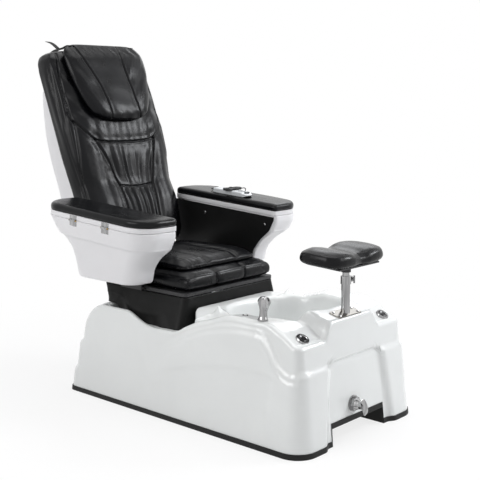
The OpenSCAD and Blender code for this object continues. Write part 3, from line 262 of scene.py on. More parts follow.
def tilted(co, angle, y0, z0):      # turned about X and then moved to the place (y0, z0)
    co = np.array(co, float)
    y, z = co[..., 1], co[..., 2]
    return np.stack([co[..., 0], y0 + y * math.cos(angle) - z * math.sin(angle),
                     z0 + y * math.sin(angle) + z * math.cos(angle)], -1)


def lineDistance(x, y, line):
    best = np.full(len(x), 1e9)
    for (x0, y0), (x1, y1) in zip(line[:-1], line[1:]):
        dx, dy = x1 - x0, y1 - y0
        t = np.clip(((x - x0) * dx + (y - y0) * dy) / (dx * dx + dy * dy), 0, 1)
        best = np.minimum(best, np.hypot(x - x0 - t * dx, y - y0 - t * dy))
    return best


def groove(distance, width, depth):
    return depth * np.exp(-(distance / width) ** 2)


def welt(distance, width, height):      # a stitched seam: a narrow groove between two soft ridges
    return groove(distance, width, height) - groove(distance, width * 2.6, height * 0.45)


def cloudy(co, scale, seed=0.0):
    return np.array([noise.noise(Vector((p[0] * scale[0] + seed, p[1] * scale[1] + seed * 1.7, p[2] * scale[2])))
                     for p in co])


def dragLines(x, u, w, turn, scale, seed):      # drawn out along the direction turn, with a scale along and across
    c, s = turn
    lines = np.stack([(x * c + u * s) * scale[0], (x * s - u * c) * scale[1], w * 0.01], 1)
    return cloudy(lines, (1, 1, 1), seed)


# ---- camera and lights

cameraSet = {
    "place": (-2.7021, -2.6060 + centreShift * mm, 1.2172), "turn": (81.1034, 0, -48.1065),
    "lens": 70.68, "sensor": 36, "shift": (0.0008, 0.0002), "clip": 60,
}


def setCamera():
    k = cameraSet
    data = bpy.data.cameras.new("camera")
    camera = addToScene("camera", data)
    camera.location = k["place"]
    camera.rotation_euler = [math.radians(a) for a in k["turn"]]
    data.lens, data.sensor_width, data.clip_end = k["lens"], k["sensor"], k["clip"]
    data.shift_x, data.shift_y = k["shift"]
    bpy.context.scene.camera = camera


setCamera()
print("camera set")

lightSet = {
    # name: (place, aimed at, width, height, watts, colour)
    "leftSoft": ((-3.7, 0.5, 2.4), (0, -0.1, 0.4), 2.6, 1.8, 66, (1, 1, 1)),
    "frontSoft": ((2.2, -3.8, 2.1), (0, -0.3, 0.3), 2.0, 1.4, 34, (1, 1, 1)),
    "highRight": ((2.8, -2.3, 2.8), (0, 0.1, 0.8), 1.4, 1.15, 84, (0.95, 0.97, 1)),
    "rearRight": ((3.2, 1.2, 2.7), (0, -0.2, 0.6), 1.8, 1.2, 14, (0.95, 0.97, 1)),
    "topSoft": ((0.3, 0.1, 4.0), (0, 0, 0.8), 3.0, 2.6, 58, (1, 1, 1)),
}
studioSet = {
    # the room is pale above and below and darker at eye level, so that metal has something to show
    "bands": [(0.0, 0.9), (0.48, 0.5), (0.52, 0.10), (0.61, 0.08), (0.69, 0.30), (0.77, 1.0), (1.0, 1.0)],
    # the wall at the open front right corner of the room is darker than the others
    "world": 0.62, "darkWall": (-0.7, -0.7, 0.1), "wallSpan": (0.2, 0.95), "wallLevel": 0.22,
    # the floor keeps the shadow near the chair and runs clean into the background further out
    "floor": (0.86, 0.86, 0.86), "floorSize": 30, "floorLift": 0.80, "clearSpan": (0.9, 2.0),
}


def setLights():
    for name, (place, aim, width, height, watts, colour) in lightSet.items():
        data = bpy.data.lights.new(name, "AREA")
        data.shape = "RECTANGLE"
        data.size, data.size_y, data.energy, data.color = width, height, watts, colour
        lamp = addToScene(name, data)
        lamp.location = place
        lamp.rotation_euler = (Vector(aim) - Vector(place)).to_track_quat("-Z", "Y").to_euler()


def setInputs(tree, node, inputs):      # each value is a number, a colour or another node's output
    for key, value in inputs.items():
        if isinstance(value, bpy.types.NodeSocket):
            tree.links.new(value, node.inputs[key])
        else:
            node.inputs[key].default_value = value


def addNode(tree, kind, inputs=None, **traits):
    made = tree.nodes.new("ShaderNode" + kind)
    for key, value in traits.items():
        setattr(made, key, value)
    setInputs(tree, made, inputs or {})
    return made


def mathNode(tree, operation, *values):
    return addNode(tree, "Math", dict(enumerate(values)), operation=operation).outputs[0]


def mapRange(tree, value, source, target, **traits):
    spans = {"Value": value, "From Min": source[0], "From Max": source[1], "To Min": target[0], "To Max": target[1]}
    return addNode(tree, "MapRange", spans, **traits).outputs[0]


def mixShader(tree, share, first, second):
    return addNode(tree, "MixShader", {0: share, 1: first, 2: second}).outputs[0]


def emptyTree(owner):
    owner.use_nodes = True
    owner.node_tree.nodes.clear()
    return owner.node_tree


def seenShare(tree):        # 1 for camera, glossy and transmission rays
    path = addNode(tree, "LightPath").outputs
    seen = mathNode(tree, "MAXIMUM", path["Is Camera Ray"], path["Is Glossy Ray"])
    return mathNode(tree, "MAXIMUM", seen, path["Is Transmission Ray"])


def setWorld():
    k = studioSet
    world = bpy.data.worlds.new("studio")
    bpy.context.scene.world = world
    tree = emptyTree(world)
    way = addNode(tree, "TexCoord").outputs["Generated"]
    up = addNode(tree, "SeparateXYZ", {0: way}).outputs["Z"]
    ramp = addNode(tree, "ValToRGB", {"Fac": mapRange(tree, up, (-1, 1), (0, 1))})
    elements = ramp.color_ramp.elements
    while len(elements) < len(k["bands"]):
        elements.new(0.5)
    for element, (place, level) in zip(elements, k["bands"]):
        element.position = place
        element.color = (level, level, level * 1.01, 1)
    toward = addNode(tree, "VectorMath", {0: way, 1: k["darkWall"]}, operation="DOT_PRODUCT").outputs["Value"]
    wall = mapRange(tree, toward, k["wallSpan"], (k["world"], k["wallLevel"]))
    room = addNode(tree, "Background", {"Color": ramp.outputs["Color"], "Strength": wall}).outputs[0]
    white = addNode(tree, "Background", {"Color": (1, 1, 1, 1)}).outputs[0]
    addNode(tree, "OutputWorld", {"Surface": mixShader(tree, seenShare(tree), room, white)})


def setFloor():
    k = studioSet
    deselectAll()
    bpy.ops.mesh.primitive_plane_add(size=k["floorSize"])
    floor = bpy.context.object
    floor.name = "floor"
    made = bpy.data.materials.new("paleFloor")
    tree = emptyTree(made)
    place = addNode(tree, "NewGeometry").outputs["Position"]
    away = addNode(tree, "VectorMath", {0: place}, operation="LENGTH").outputs["Value"]
    reach = mapRange(tree, away, k["clearSpan"], (k["floorLift"], 1), interpolation_type="SMOOTHSTEP")
    shade = addNode(tree, "BsdfDiffuse", {"Color": (*k["floor"], 1)}).outputs[0]
    lift = addNode(tree, "Emission").outputs[0]
    share = mathNode(tree, "MULTIPLY", seenShare(tree), reach)
    addNode(tree, "OutputMaterial", {"Surface": mixShader(tree, share, shade, lift)})
    floor.data.materials.append(made)


setLights()
setWorld()
setFloor()
bpy.context.scene.view_settings.view_transform = "Standard"
print("lights and floor set")


# ---- materials

def newGroup(name, numbers):
    group = bpy.data.node_groups.new(name, "ShaderNodeTree")
    for key, value in numbers.items():
        made = group.interface.new_socket(key, in_out="INPUT", socket_type="NodeSocketFloat")
        made.default_value = value
    for key in ("Height", "Cloud"):
        group.interface.new_socket(key, in_out="OUTPUT", socket_type="NodeSocketFloat")
    return group, group.nodes.new("NodeGroupInput").outputs, addNode(group, "TexCoord").outputs["Object"]


def endGroup(group, height, cloud):
    setInputs(group, group.nodes.new("NodeGroupOutput"), {"Height": height, "Cloud": cloud})
    return group


def noiseNode(tree, vector, scale, detail, rough, distortion=0.0):
    sockets = {"Vector": vector, "Scale": scale, "Detail": detail, "Roughness": rough, "Distortion": distortion}
    return addNode(tree, "TexNoise", sockets).outputs["Fac"]


def buildHideGrain():
    group, given, place = newGroup("hideGrain", {"Cells": 520, "Creases": 34})
    cells = addNode(group, "TexVoronoi", {"Vector": place, "Scale": given["Cells"]}, feature="DISTANCE_TO_EDGE")
    pits = mathNode(group, "MINIMUM", mathNode(group, "MULTIPLY", cells.outputs["Distance"], 3.0), 0.5)
    folds = noiseNode(group, place, given["Creases"], 4.0, 0.6, 1.2)
    fold = mathNode(group, "ABSOLUTE", mathNode(group, "SUBTRACT", folds, 0.5))
    crease = mathNode(group, "MINIMUM", mathNode(group, "MULTIPLY", fold, 5.0), 0.6)
    height = mathNode(group, "ADD", mathNode(group, "MULTIPLY", pits, 0.35), crease)
    return endGroup(group, height, noiseNode(group, place, 9.0, 3.0, 0.6, 0.4))


def buildMouldSkin():
    group, given, place = newGroup("mouldSkin", {"Ripple": 26, "Specks": 900})
    ripple = noiseNode(group, place, given["Ripple"], 2.0, 0.5)
    specks = noiseNode(group, place, given["Specks"], 1.0, 0.5)
    height = mathNode(group, "ADD", ripple, mathNode(group, "MULTIPLY", specks, 0.06))
    return endGroup(group, height, noiseNode(group, place, 5.0, 4.0, 0.6, 0.6))


def buildBrushAndReflectionStreaks():
    group, given, place = newGroup("brushAndReflectionStreaks", {"Across": 700, "Along": 14})
    split = addNode(group, "SeparateXYZ", {0: place}).outputs
    lines = addNode(group, "CombineXYZ", {axis: mathNode(group, "MULTIPLY", split[axis], given[name])
                                          for axis, name in (("X", "Across"), ("Y", "Across"), ("Z", "Along"))})
    # the Cloud streaks, drawn out along Z, set the colour: a random tone on steel and brass, and painted reflections of
    # the room on the chrome
    reflectionAndToneStreaks = addNode(group, "VectorMath", {0: place, 1: (70, 70, 5)}, operation="MULTIPLY")
    return endGroup(group, noiseNode(group, lines.outputs[0], 1.0, 3.0, 0.6),
                    noiseNode(group, reflectionAndToneStreaks.outputs[0], 1.0, 2.0, 0.5, 0.4))


def buildClothWeave():
    group, given, place = newGroup("clothWeave", {"Threads": 900})
    split = addNode(group, "SeparateXYZ", {0: place}).outputs
    across = mathNode(group, "ADD", split["X"], split["Y"])
    halves = []
    for way in (across, split["Z"]):
        thread = mathNode(group, "SINE", mathNode(group, "MULTIPLY", way, given["Threads"]))
        halves.append(mathNode(group, "MULTIPLY", thread, 0.5))
    return endGroup(group, mathNode(group, "ADD", *halves), noiseNode(group, place, 12.0, 4.0, 0.6, 0.6))


groups = {"hide": buildHideGrain(), "mould": buildMouldSkin(), "brushAndReflection": buildBrushAndReflectionStreaks(), "weave": buildClothWeave()}
cloudSpan = (0.25, 0.75)        # the part of the Cloud output that the roughness follows
metal = {"Metallic": 1.0}
hideSheen = {"Specular IOR Level": 0.18}

finishes = {
    # name: (pattern, pale colour, dark colour, lowest and highest roughness, bump strength and depth, other sockets)
    "mouldedWhite": ("mould", (0.80, 0.815, 0.81), (0.745, 0.76, 0.755), (0.16, 0.24), (0.05, 0.004),
                     {"Coat Weight": 0.35, "Coat Roughness": 0.04}),
    "armWhite": ("mould", (0.76, 0.755, 0.77), (0.70, 0.695, 0.71), (0.30, 0.42), (0.05, 0.003),
                 {"Coat Weight": 0.1, "Coat Roughness": 0.2}),
    "softHide": ("hide", (0.0040, 0.0042, 0.0054), (0.0020, 0.0020, 0.0026), (0.24, 0.36), (0.08, 0.0005), hideSheen),
    "tightHide": ("hide", (0.0045, 0.0048, 0.0058), (0.0025, 0.0026, 0.0030), (0.22, 0.28), (0.02, 0.0002), hideSheen),
    "blackPanel": ("mould", (0.0055, 0.0055, 0.0058), (0.003, 0.003, 0.003), (0.36, 0.48), (0.2, 0.002),
                   {"Specular IOR Level": 0.2}),
    "trimRubber": ("mould", (0.009, 0.009, 0.009), (0.005, 0.005, 0.005), (0.42, 0.58), (0.25, 0.003),
                   {"Specular IOR Level": 0.25}),
    "skirtCloth": ("weave", (0.0055, 0.0058, 0.0056), (0.003, 0.003, 0.003), (0.42, 0.56), (0.15, 0.0004),
                   {"Specular IOR Level": 0.16}),
    # chrome: its dark colour, laid in vertical streaks, is painted reflection that stands in for the dark room mirrored
    # in the metal
    "chromeFinish": ("brushAndReflection", (0.66, 0.66, 0.66), (0.07, 0.07, 0.075), (0.05, 0.12), (0.01, 0.0002), metal),
    "plateSteel": ("brushAndReflection", (0.30, 0.285, 0.26), (0.12, 0.115, 0.105), (0.12, 0.24), (0.05, 0.0003), metal),
    "railSteel": ("brushAndReflection", (0.52, 0.52, 0.53), (0.38, 0.38, 0.39), (0.28, 0.42), (0.15, 0.0004), metal),
    "paintedSteel": ("mould", (0.022, 0.022, 0.024), (0.014, 0.014, 0.015), (0.45, 0.6), (0.2, 0.002), {}),
    "pipeGrey": ("mould", (0.22, 0.23, 0.24), (0.17, 0.18, 0.19), (0.4, 0.5), (0.1, 0.002), {}),
    "goldBrass": ("brushAndReflection", (0.66, 0.42, 0.12), (0.50, 0.30, 0.07), (0.16, 0.30), (0.05, 0.0003), metal),
    "controlCase": ("mould", (0.72, 0.74, 0.76), (0.64, 0.66, 0.68), (0.28, 0.40), (0.1, 0.002), {}),
    "keyRubber": ("mould", (0.10, 0.11, 0.12), (0.07, 0.08, 0.09), (0.45, 0.6), (0.2, 0.002), {}),
    "cordRubber": ("mould", (0.010, 0.010, 0.011), (0.006, 0.006, 0.007), (0.38, 0.52), (0.2, 0.002), {}),
    "buttonWhite": ("mould", (0.72, 0.72, 0.72), (0.62, 0.62, 0.62), (0.2, 0.3), (0.1, 0.002), {}),
    "darkGloss": ("mould", (0.020, 0.021, 0.023), (0.010, 0.010, 0.011), (0.12, 0.22), (0.05, 0.001), {}),
}


def newFinish(name):
    pattern, pale, dark, rough, bump, others = finishes[name]
    made = bpy.data.materials.new(name)
    made.use_nodes = True
    tree = made.node_tree
    effect = addNode(tree, "Group", node_tree=groups[pattern]).outputs
    # the Cloud output mixes the dark and pale colours; on the chrome this mix paints its reflections
    colour = addNode(tree, "Mix", {"A": (*dark, 1), "B": (*pale, 1), "Factor": effect["Cloud"]}, data_type="RGBA")
    relief = addNode(tree, "Bump", {"Strength": bump[0], "Distance": bump[1], "Height": effect["Height"]})
    setInputs(tree, tree.nodes["Principled BSDF"], {
        "Base Color": colour.outputs["Result"], "Normal": relief.outputs[0],
        "Roughness": mapRange(tree, effect["Cloud"], cloudSpan, rough), **others})
    return made


materials = {name: newFinish(name) for name in finishes}


def finish(piece, material, body, replaced=()):
    piece.data.materials.clear()
    piece.data.materials.append(materials[material])
    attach(piece, body)
    if replaced:
        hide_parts(*replaced)


slotFinish = {
    "shell_white": "mouldedWhite", "trim_rubber": "trimRubber", "kick_black": "blackPanel",
    "frame_steel": "paintedSteel", "rail_steel": "railSteel", "pipe_grey": "pipeGrey", "chrome": "chromeFinish",
    "plate_brushed": "plateSteel", "knob_dark": "darkGloss", "button_white": "buttonWhite", "pin_brass": "goldBrass",
    "seat_leather": "softHide", "skirt_cloth": "skirtCloth", "control_grey": "controlCase", "key_grey": "keyRubber",
    "cord_black": "cordRubber",
}


def dressNodes():
    slots = {part["node"]: part["material_slot"] for part in frame["record"]["subparts"]}
    for name, node in nodes.items():
        node.data.materials.clear()
        node.data.materials.append(materials[slotFinish[slots[name]]])


dressNodes()
print("materials ready")


# ---- the moulded tub and its floor trim

tubSet = {
    "halfWidth": 359, "front": -775, "rear": 447, "frontRadius": 80, "rearRadius": 32, "wall": 6,
    "ledgeHeight": 334, "ledgeFrom": -235, "rearTop": 388, "shoulder": 22, "relief": 6, "deckHeight": 410,
    "basinHalfWidth": 235, "basinHalfLength": 222, "basinMiddle": -420, "basinFloor": 165, "drainHole": 18,
    "notchHalf": 159, "notchHeight": 62, "trimHeight": 20, "trimThick": 3,
    "wallRows": 64, "roundRows": 12, "deckRows": 10, "bowlSteps": 4,
    "rimSteps": [(-140, -290, 62), (-260, -430, 41), (-560, -760, -75)],        # (from y, to y, rise)
    "skinAngle": 38, "trimAngle": 50, "lipEasing": 5,
    # the mesh runs straight across the toe notch's edge, in x, and across the start of the ledge, in y
    "notchBlend": (158, 160), "ledgeBlend": (-240, -205),
}
sFront = tubSet["halfWidth"] - tubSet["frontRadius"]
sCorner = sFront + tubSet["frontRadius"] * math.pi / 2
sSide = sCorner + tubSet["rear"] - tubSet["rearRadius"] - tubSet["front"] - tubSet["frontRadius"]
sEnd = sSide + tubSet["rearRadius"] * math.pi / 2
sAll = sEnd + tubSet["halfWidth"] - tubSet["rearRadius"]


def sideAt(y):
    return sCorner + y - tubSet["front"] - tubSet["frontRadius"]


def floorPoint(s):      # a place on the floor outline and the way inwards from it
    t = tubSet
    if s <= sFront:
        return s, t["front"], 0, 1
    if s <= sCorner:
        a = (s - sFront) / (sCorner - sFront) * math.pi / 2
        return (sFront + t["frontRadius"] * math.sin(a), t["front"] + t["frontRadius"] * (1 - math.cos(a)),
                -math.sin(a), math.cos(a))
    if s <= sSide:
        return t["halfWidth"], t["front"] + t["frontRadius"] + s - sCorner, -1, 0
    if s <= sEnd:
        a = (s - sSide) / (sEnd - sSide) * math.pi / 2
        return (t["halfWidth"] - t["rearRadius"] * (1 - math.cos(a)), t["rear"] - t["rearRadius"] * (1 - math.sin(a)),
                -math.cos(a), 0)
    return sAll - s, t["rear"], 0, 0


def rimAt(y):
    return tubSet["ledgeHeight"] + 6 + sum(rise * ease(start, end, y) for start, end, rise in tubSet["rimSteps"])


def deckAt(x, y):
    bridge = 439 + 0.268 * (y + 690)
    flat = 387 + 0.6 * (y + 686) if y < -640 else 387 + 0.6 * 46 + 0.2 * (y + 640)
    front = mix(bridge, flat, ease(122, 165, abs(x)))
    side = rimAt(y) - 0.1 * (330 - abs(x))
    return mix(front, side, ease(-658, -590, y) * ease(175, 240, abs(x)))


def topAt(x, y):
    if y <= tubSet["ledgeFrom"]:
        return deckAt(x, y)
    return tubSet["ledgeHeight"] + 6 + 46 * ease(-70, 180, y) if y > -140 else rimAt(y)


def sideInset(y, z):
    arch = 414 - 0.00098 * (y + 490) ** 2 if y > -490 else 276 + 138 * (1 - ease(-540, -690, y))
    swell = 272 - 0.00043 * (y + 540) ** 2
    return (mix(0.10, 0.03, ease(-600, -200, y)) * z
            + tubSet["relief"] * ease(-40, -200, y) * (ease(arch - 30, arch - 14, z) + ease(arch - 6, arch + 10, z))
            + 7 * ease(swell + 6, swell - 22, z) * ease(20, 130, z) * ease(-636, -608, y) * ease(60, -260, y))


def frontInset(x, z):
    return (0.10 * z + 2 * tubSet["relief"] * ease(272, 298, z)
            + (tubSet["relief"] + 10) * ease(26, -10, abs(x) - (168 - 0.155 * (z - 160))) * ease(300, 284, z))


def wallInset(s, z):
    if s <= sFront:
        return frontInset(s, z)
    if s <= sCorner:
        return mix(frontInset(sFront, z), sideInset(tubSet["front"] + tubSet["frontRadius"], z),
                   (s - sFront) / (sCorner - sFront))
    return sideInset(floorPoint(s)[1], z)


def rearAt(z):
    drop = 0 if z < 270 else 125 * (1 - math.sqrt(1 - (min(z - 270, 118) / 120) ** 2))
    return tubSet["rear"] - 0.18 * z - 16 * ease(88, 118, z) - 20 * ease(205, 234, z) - drop


def outline(s, inset, z):
    x, y, dx, dy = floorPoint(s)
    y += dy * inset
    return x + dx * inset, y * rearAt(z) / tubSet["rear"] if y > 0 else y


def inwardAt(s):
    dx, dy = floorPoint(s)[2:]
    return (-abs(dx), -1) if s >= sSide else (dx, dy)


# the angle round the basin that each place on the floor outline looks at
basinAngles = [(0, 0), (60, 14), (112, 27), (140, 34), (178, 42), (240, 50), (sFront, 56), (sCorner, 68),
               (sCorner + 100, 74), (sCorner + 200, 84), (sCorner + 320, 104), (sCorner + 420, 124),
               (sCorner + 490, 140), (sCorner + 900, 160), (sAll, 180)]


def basinPoint(s, k):
    a = math.radians(along(basinAngles, s))
    e = 2 / 2.3
    t = tubSet
    return (t["basinHalfWidth"] * k * math.sin(a) ** e if 0 < a < math.pi - 1e-9 else 0.0,
            t["basinMiddle"] - t["basinHalfLength"] * k * math.copysign(abs(math.cos(a)) ** e, math.cos(a)))


def roundedPath(path, radius, steps=4):     # a path whose inner corners are eased, with the same count each time
    path = np.array(path, float)
    out = [path[0]]
    for a, b, c in zip(path[:-2], path[1:-1], path[2:]):
        before, after = a - b, c - b
        la, lc = np.linalg.norm(before), np.linalg.norm(after)
        p = b + before * min(radius / max(la, 1e-6), 0.45)
        q = b + after * min(radius / max(lc, 1e-6), 0.45)
        for k in range(steps + 1):
            t = k / steps
            out.append(p * (1 - t) ** 2 + b * 2 * t * (1 - t) + q * t ** 2)
    return out


def mixed(p, q, t):
    return [mix(a, b, t) for a, b in zip(p, q)]


def ledgeRows(s, last, inTop, top, rim):        # over the rear wall's top, down to the ledge and up to the basin
    t = tubSet
    drop = 2 * t["wall"] + 2 if s >= sSide else 0
    lip = outline(s, inTop + 2 * t["wall"], top)
    foot = outline(s, inTop + 2 * t["wall"] + 3, top)
    rx = (t["halfWidth"] - 51) * (sAll - s) / (sAll - sideAt(t["ledgeBlend"][0]))
    ry = -150 - 88 * ease(195, 325, rx)
    riser = (rx, ry - 1, t["deckHeight"] - 18 * ease(200, 325, rx))
    rows = roundedPath([last, (lip[0], lip[1] - drop, top - 3),
                        (foot[0], foot[1] - (drop + 3 if drop else 0), t["ledgeHeight"]),
                        (rx, ry + 1, t["ledgeHeight"]), riser, mixed(riser, rim, 0.15)], 9)[1:]
    return rows + [mixed(riser, rim, v) for v in np.linspace(0.15, 1, t["deckRows"])]


def deckRows(last, rim):        # across the front deck, eased to the basin's edge
    rows = []
    for u in np.linspace(0, 0.38, 21)[1:]:
        px, py = mixed(last[:2], rim, u)
        rows.append((px, py, deckAt(px, py)))
    inner = rows[-1]
    for v in np.linspace(0.06, 1, tubSet["deckRows"]):
        px, py = mixed(inner[:2], rim, v)
        rows.append((px, py, mix(deckAt(px, py), rim[2], ease(0.6, 1, v))))
    return rows


def bowlRows(s, edge):      # from the basin's edge down to the drain
    t = tubSet
    floor = t["basinFloor"]
    bowl = [(1, edge), (0.975, edge - 4), (0.93, edge - 20), (0.88, mix(edge, floor, 0.35)), (0.80, floor + 45),
            (0.73, floor + 14), (0.62, floor), (0.45, floor - 0.5)]
    rows = [(*basinPoint(s, k), z) for k, z in curved(bowl, t["bowlSteps"])[1:]]
    a = math.radians(along(basinAngles, s))
    hole = (t["drainHole"] * math.sin(a), t["basinMiddle"] - t["drainHole"] * math.cos(a), floor - 1)
    return rows + [mixed(rows[-1], hole, f) for f in (0.35, 0.7, 1)]


def tubRing(s):     # one strip of the skin, from the floor over the rim to the drain
    t = tubSet
    rear = s > sideAt(t["ledgeFrom"])
    low = (0 if s > t["notchHalf"] else t["notchHeight"]) + 4
    inTop = wallInset(s, t["ledgeHeight"] if rear else 400) + (10 if rear else t["shoulder"])
    x, y, dx, dy = floorPoint(s)
    top = t["rearTop"] if s >= sSide else topAt(x + dx * inTop, y + dy * inTop)
    radius = (6 if s >= sSide else 10) if rear else t["shoulder"]
    start = top - radius
    inStart = wallInset(s, start)
    rows = []
    for f in np.linspace(0, 1, t["wallRows"]):
        z = mix(low, start, f)
        rows.append((*outline(s, wallInset(s, z), z), z))
    for a in np.linspace(0, math.pi / 2, t["roundRows"] + 1)[1:]:
        z = start + radius * math.sin(a)
        rows.append((*outline(s, mix(inStart, inTop, 1 - math.cos(a)), min(z, 386)), z))
    ex, ey = basinPoint(s, 1)
    rim = (ex, ey, mix(deckAt(ex, ey), t["deckHeight"] + 2, ease(-400, -250, ey)))
    rows += ledgeRows(s, rows[-1], inTop, top, rim) if rear else deckRows(rows[-1], rim)
    lipRow = len(rows)
    rows = np.array(rows + bowlRows(s, rim[2]))
    for _ in range(t["lipEasing"]):
        part = rows[lipRow - 4:lipRow + 6]
        part[1:-1] = 0.5 * part[1:-1] + 0.25 * (part[:-2] + part[2:])
    return rows


def tubColumns():       # how finely the outline is divided up to each place on it
    last = 0
    half = [0]
    blend = [sideAt(y) for y in tubSet["ledgeBlend"]]
    for place, count in ((158, 13), (160, 1), (sFront, 10), (sCorner, 12), (blend[0], 37), (blend[1], 6), (sSide, 41),
                         (sEnd, 6), (sAll, 14)):
        half += list(np.linspace(last, place, count + 1)[1:])
        last = place
    half = np.round(half, 6)
    return [(s, 1) for s in half] + [(s, -1) for s in half[-2:0:-1]]


def withSteps(maker):       # straight lines where the mesh runs across an edge
    fixed = {}

    def at(s):
        for a, b in (tubSet["notchBlend"], [sideAt(y) for y in tubSet["ledgeBlend"]]):
            if a < s < b:
                for end in (a, b):
                    if end not in fixed:
                        fixed[end] = np.array(maker(end))
                return mix(fixed[a], fixed[b], (s - a) / (b - a))
        return np.array(maker(s))
    return at


def tubRows(maker):
    at = withSteps(maker)
    return [at(s) * np.array([side, 1, 1]) for s, side in tubColumns()]


def addTub():
    skin = shellPiece("tubSkin", tubRows(tubRing), (0, 0, 1), tubSet["wall"], tubSet["skinAngle"],
                      ringClosed=False, loopClosed=True)
    finish(skin, "mouldedWhite", "tub", ["tub_shell"])


def trimRing(s):
    low = 0 if s > tubSet["notchHalf"] else tubSet["notchHeight"]
    high = low + tubSet["trimHeight"]
    thick = tubSet["trimThick"]
    dx, dy = inwardAt(s)
    rows = []
    for d, z in [(0.1, high - 0.6), (-0.8, high), (1 - thick, high), (0.2 - thick, high - 1), (-thick, high - 3),
                 (-thick, low + 10), (-thick, low + 3), (0.3 - thick, low + 1), (1.2 - thick, low + 0.1), (0, low),
                 (tubSet["wall"] - 1, low), (tubSet["wall"], low + 1), (tubSet["wall"], low + 3.5), (0.1, low + 4)]:
        x, y = outline(s, wallInset(s, z), z)
        rows.append((x + d * dx, y + d * dy, z))
    return rows


def addTrim():
    trim = gridPiece("floorTrim", tubRows(trimRing), loopClosed=True)
    smooth(trim, tubSet["trimAngle"])
    finish(trim, "trimRubber", "tub", ["base_trim"])


addTub()
addTrim()
print("tub made")


# ---- armrests, their lids and pads

armSet = {
    "inner": 281, "width": 182, "front": -127, "rear": 463, "wall": 4, "panel": 4, "seamHeight": 717,
    "seamSlope": 0.065, "ringPoints": 216, "padPoints": 260, "edgeAngle": 50,
    # the box at its heights: (z, front drawn in, rear drawn in, outer side drawn in)
    "steps": [(717, 0, 0, 0), (690, 1, -21, 0), (655, 19, -51, 4), (642, 27, -59, 22), (600, 78, -91, 44),
              (555, 113, -106, 54), (506, 127, -117, 60), (497, 140, -128, 72)],
    # the eased upper edge of the box, below the seam, and the lid and pad above it: (drawn in, height)
    "boxEdge": [(0, -2.6), (0.6, -1.2), (2.2, 0)],
    "lidProfile": [(3.0, 0.3), (2.0, 0.6), (0.6, 2.0), (0, 3.6), (0, 6), (0, 13), (0, 18.4), (0.4, 19.4), (1.4, 19.9),
                   (4, 20), (30, 20)],
    "padProfile": [(9, 20.1), (3, 20.8), (0.7, 23.5), (1.5, 25.2), (0.4, 27.5), (0.1, 33), (0.9, 38.5), (3.4, 43.2),
                   (8.5, 47.4), (15, 49.4), (24, 50.1), (40, 50.5), (58, 50.7), (74, 50.8), (84, 50.8)],
    "padFolds": 1.1,
}


def armRing(front, rear, outer, inset, inner, count):
    x0, x1, y0, y1 = inner + inset, outer - inset, front + inset, rear - inset
    big = min(95, 0.52 * (outer - inner)) - inset
    small = max(4, 15 - inset)
    ring = (quarter(x0 + small, y0 + small, small, 180, 8) + quarter(x1 - big, y0 + big, big, 270, 19)
            + quarter(x1 - big, y1 - big, big, 0, 19) + quarter(x0 + small, y1 - small, small, 90, 8))
    return evenRing(ring, count)


def onSeam(co):
    return tilted(co, math.atan(armSet["seamSlope"]), 0, armSet["seamHeight"])


def finishPair(left, material, bodies, node):
    right = mirrored(left, left.name.replace("Left", "Right"))
    for piece, body, side in ((left, bodies[0], "left"), (right, bodies[1], "right")):
        finish(piece, material, body, [node + "_" + side])
    return left, right


def addArmrests():
    a = armSet
    outer = a["inner"] + a["width"]
    steps = [(*row, 0) for row in curved(a["steps"], 7)[:0:-1]]
    steps += [(a["seamHeight"] + z, 0, 0, 0, inset) for inset, z in a["boxEdge"]]
    rows = []
    for z, front, rear, stand, inset in steps:
        ring = armRing(a["front"] + front, a["rear"] + rear, outer - stand, inset, a["inner"] + a["panel"],
                       a["ringPoints"])
        rows.append([(x, y, z + a["seamSlope"] * y * float(ease(530, 642, z))) for x, y in ring])
    box = shellPiece("armBoxLeft", rows, (1, 0, 0), a["wall"], a["edgeAngle"], capStart=True)
    finishPair(box, "armWhite", ("seat", "seat"), "arm_box")

    def seamRows(profile, count):
        rings = [(armRing(a["front"], a["rear"], outer, inset, a["inner"], count), z) for inset, z in profile]
        return [onSeam([(x, y, z) for x, y in ring]) for ring, z in rings]
    lid = shellPiece("lidLeft", seamRows(a["lidProfile"], a["ringPoints"]), (0, 0, 1), a["wall"] - 1, a["edgeAngle"],
                     capEnd=True)
    finishPair(lid, "armWhite", ("lid_l", "lid_r"), "lid")

    profile = [(max(0.1, inset), z) for inset, z in curved(a["padProfile"], 3)]
    pad = gridPiece("lidPadLeft", seamRows(profile, a["padPoints"]), capStart=True, capEnd=True)
    co = points(pad)
    high = ease(0.735, 0.75, co[:, 2])
    folds = cloudy(co, (20, 9, 6), 3.0) + 0.5 * cloudy(co, (46, 22, 20), 8.0)
    press(pad, -folds * a["padFolds"] * high)
    smooth(pad)
    for piece in finishPair(pad, "tightHide", ("lid_l", "lid_r"), "lid_pad"):
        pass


addArmrests()
print("armrests made")


# ---- the hard shell behind the back

backSet = {
    "pivot": (430, 500), "lean": 18, "lowFace": (-6, -0.055, 56),
    "depths": [(60, -105), (100, -125), (150, -134), (314, -138), (391, -139), (489, -147), (623, -137), (776, -92),
               (812, -66)],
    "shellHalf": 235, "shellMiddle": 436, "shellHalfHeight": 376, "shellCorner": 45, "shellWall": 4,
    "shellPoints": 220, "shellAngle": 50,
    "shellSteps": [(0, 0), (0.3, 0.3), (3, 0.6), (12, 0.86), (32, 0.97), (75, 1), (150, 1), (215, 1)],
}


backTurn = math.radians(90 - backSet["lean"])


def onBack(co):
    return tilted(co, backTurn, *backSet["pivot"])


def fromBack(co):       # metres in the frame to the back's own millimetres
    y = co[:, 1] / mm - centreShift - backSet["pivot"][0]
    z = co[:, 2] / mm - backSet["pivot"][1]
    return np.stack([co[:, 0] / mm, y * math.cos(backTurn) + z * math.sin(backTurn),
                     -y * math.sin(backTurn) + z * math.cos(backTurn)], 1)


def rearPlane(u):
    low, slope, start = backSet["lowFace"]
    return low + slope * (u - start)


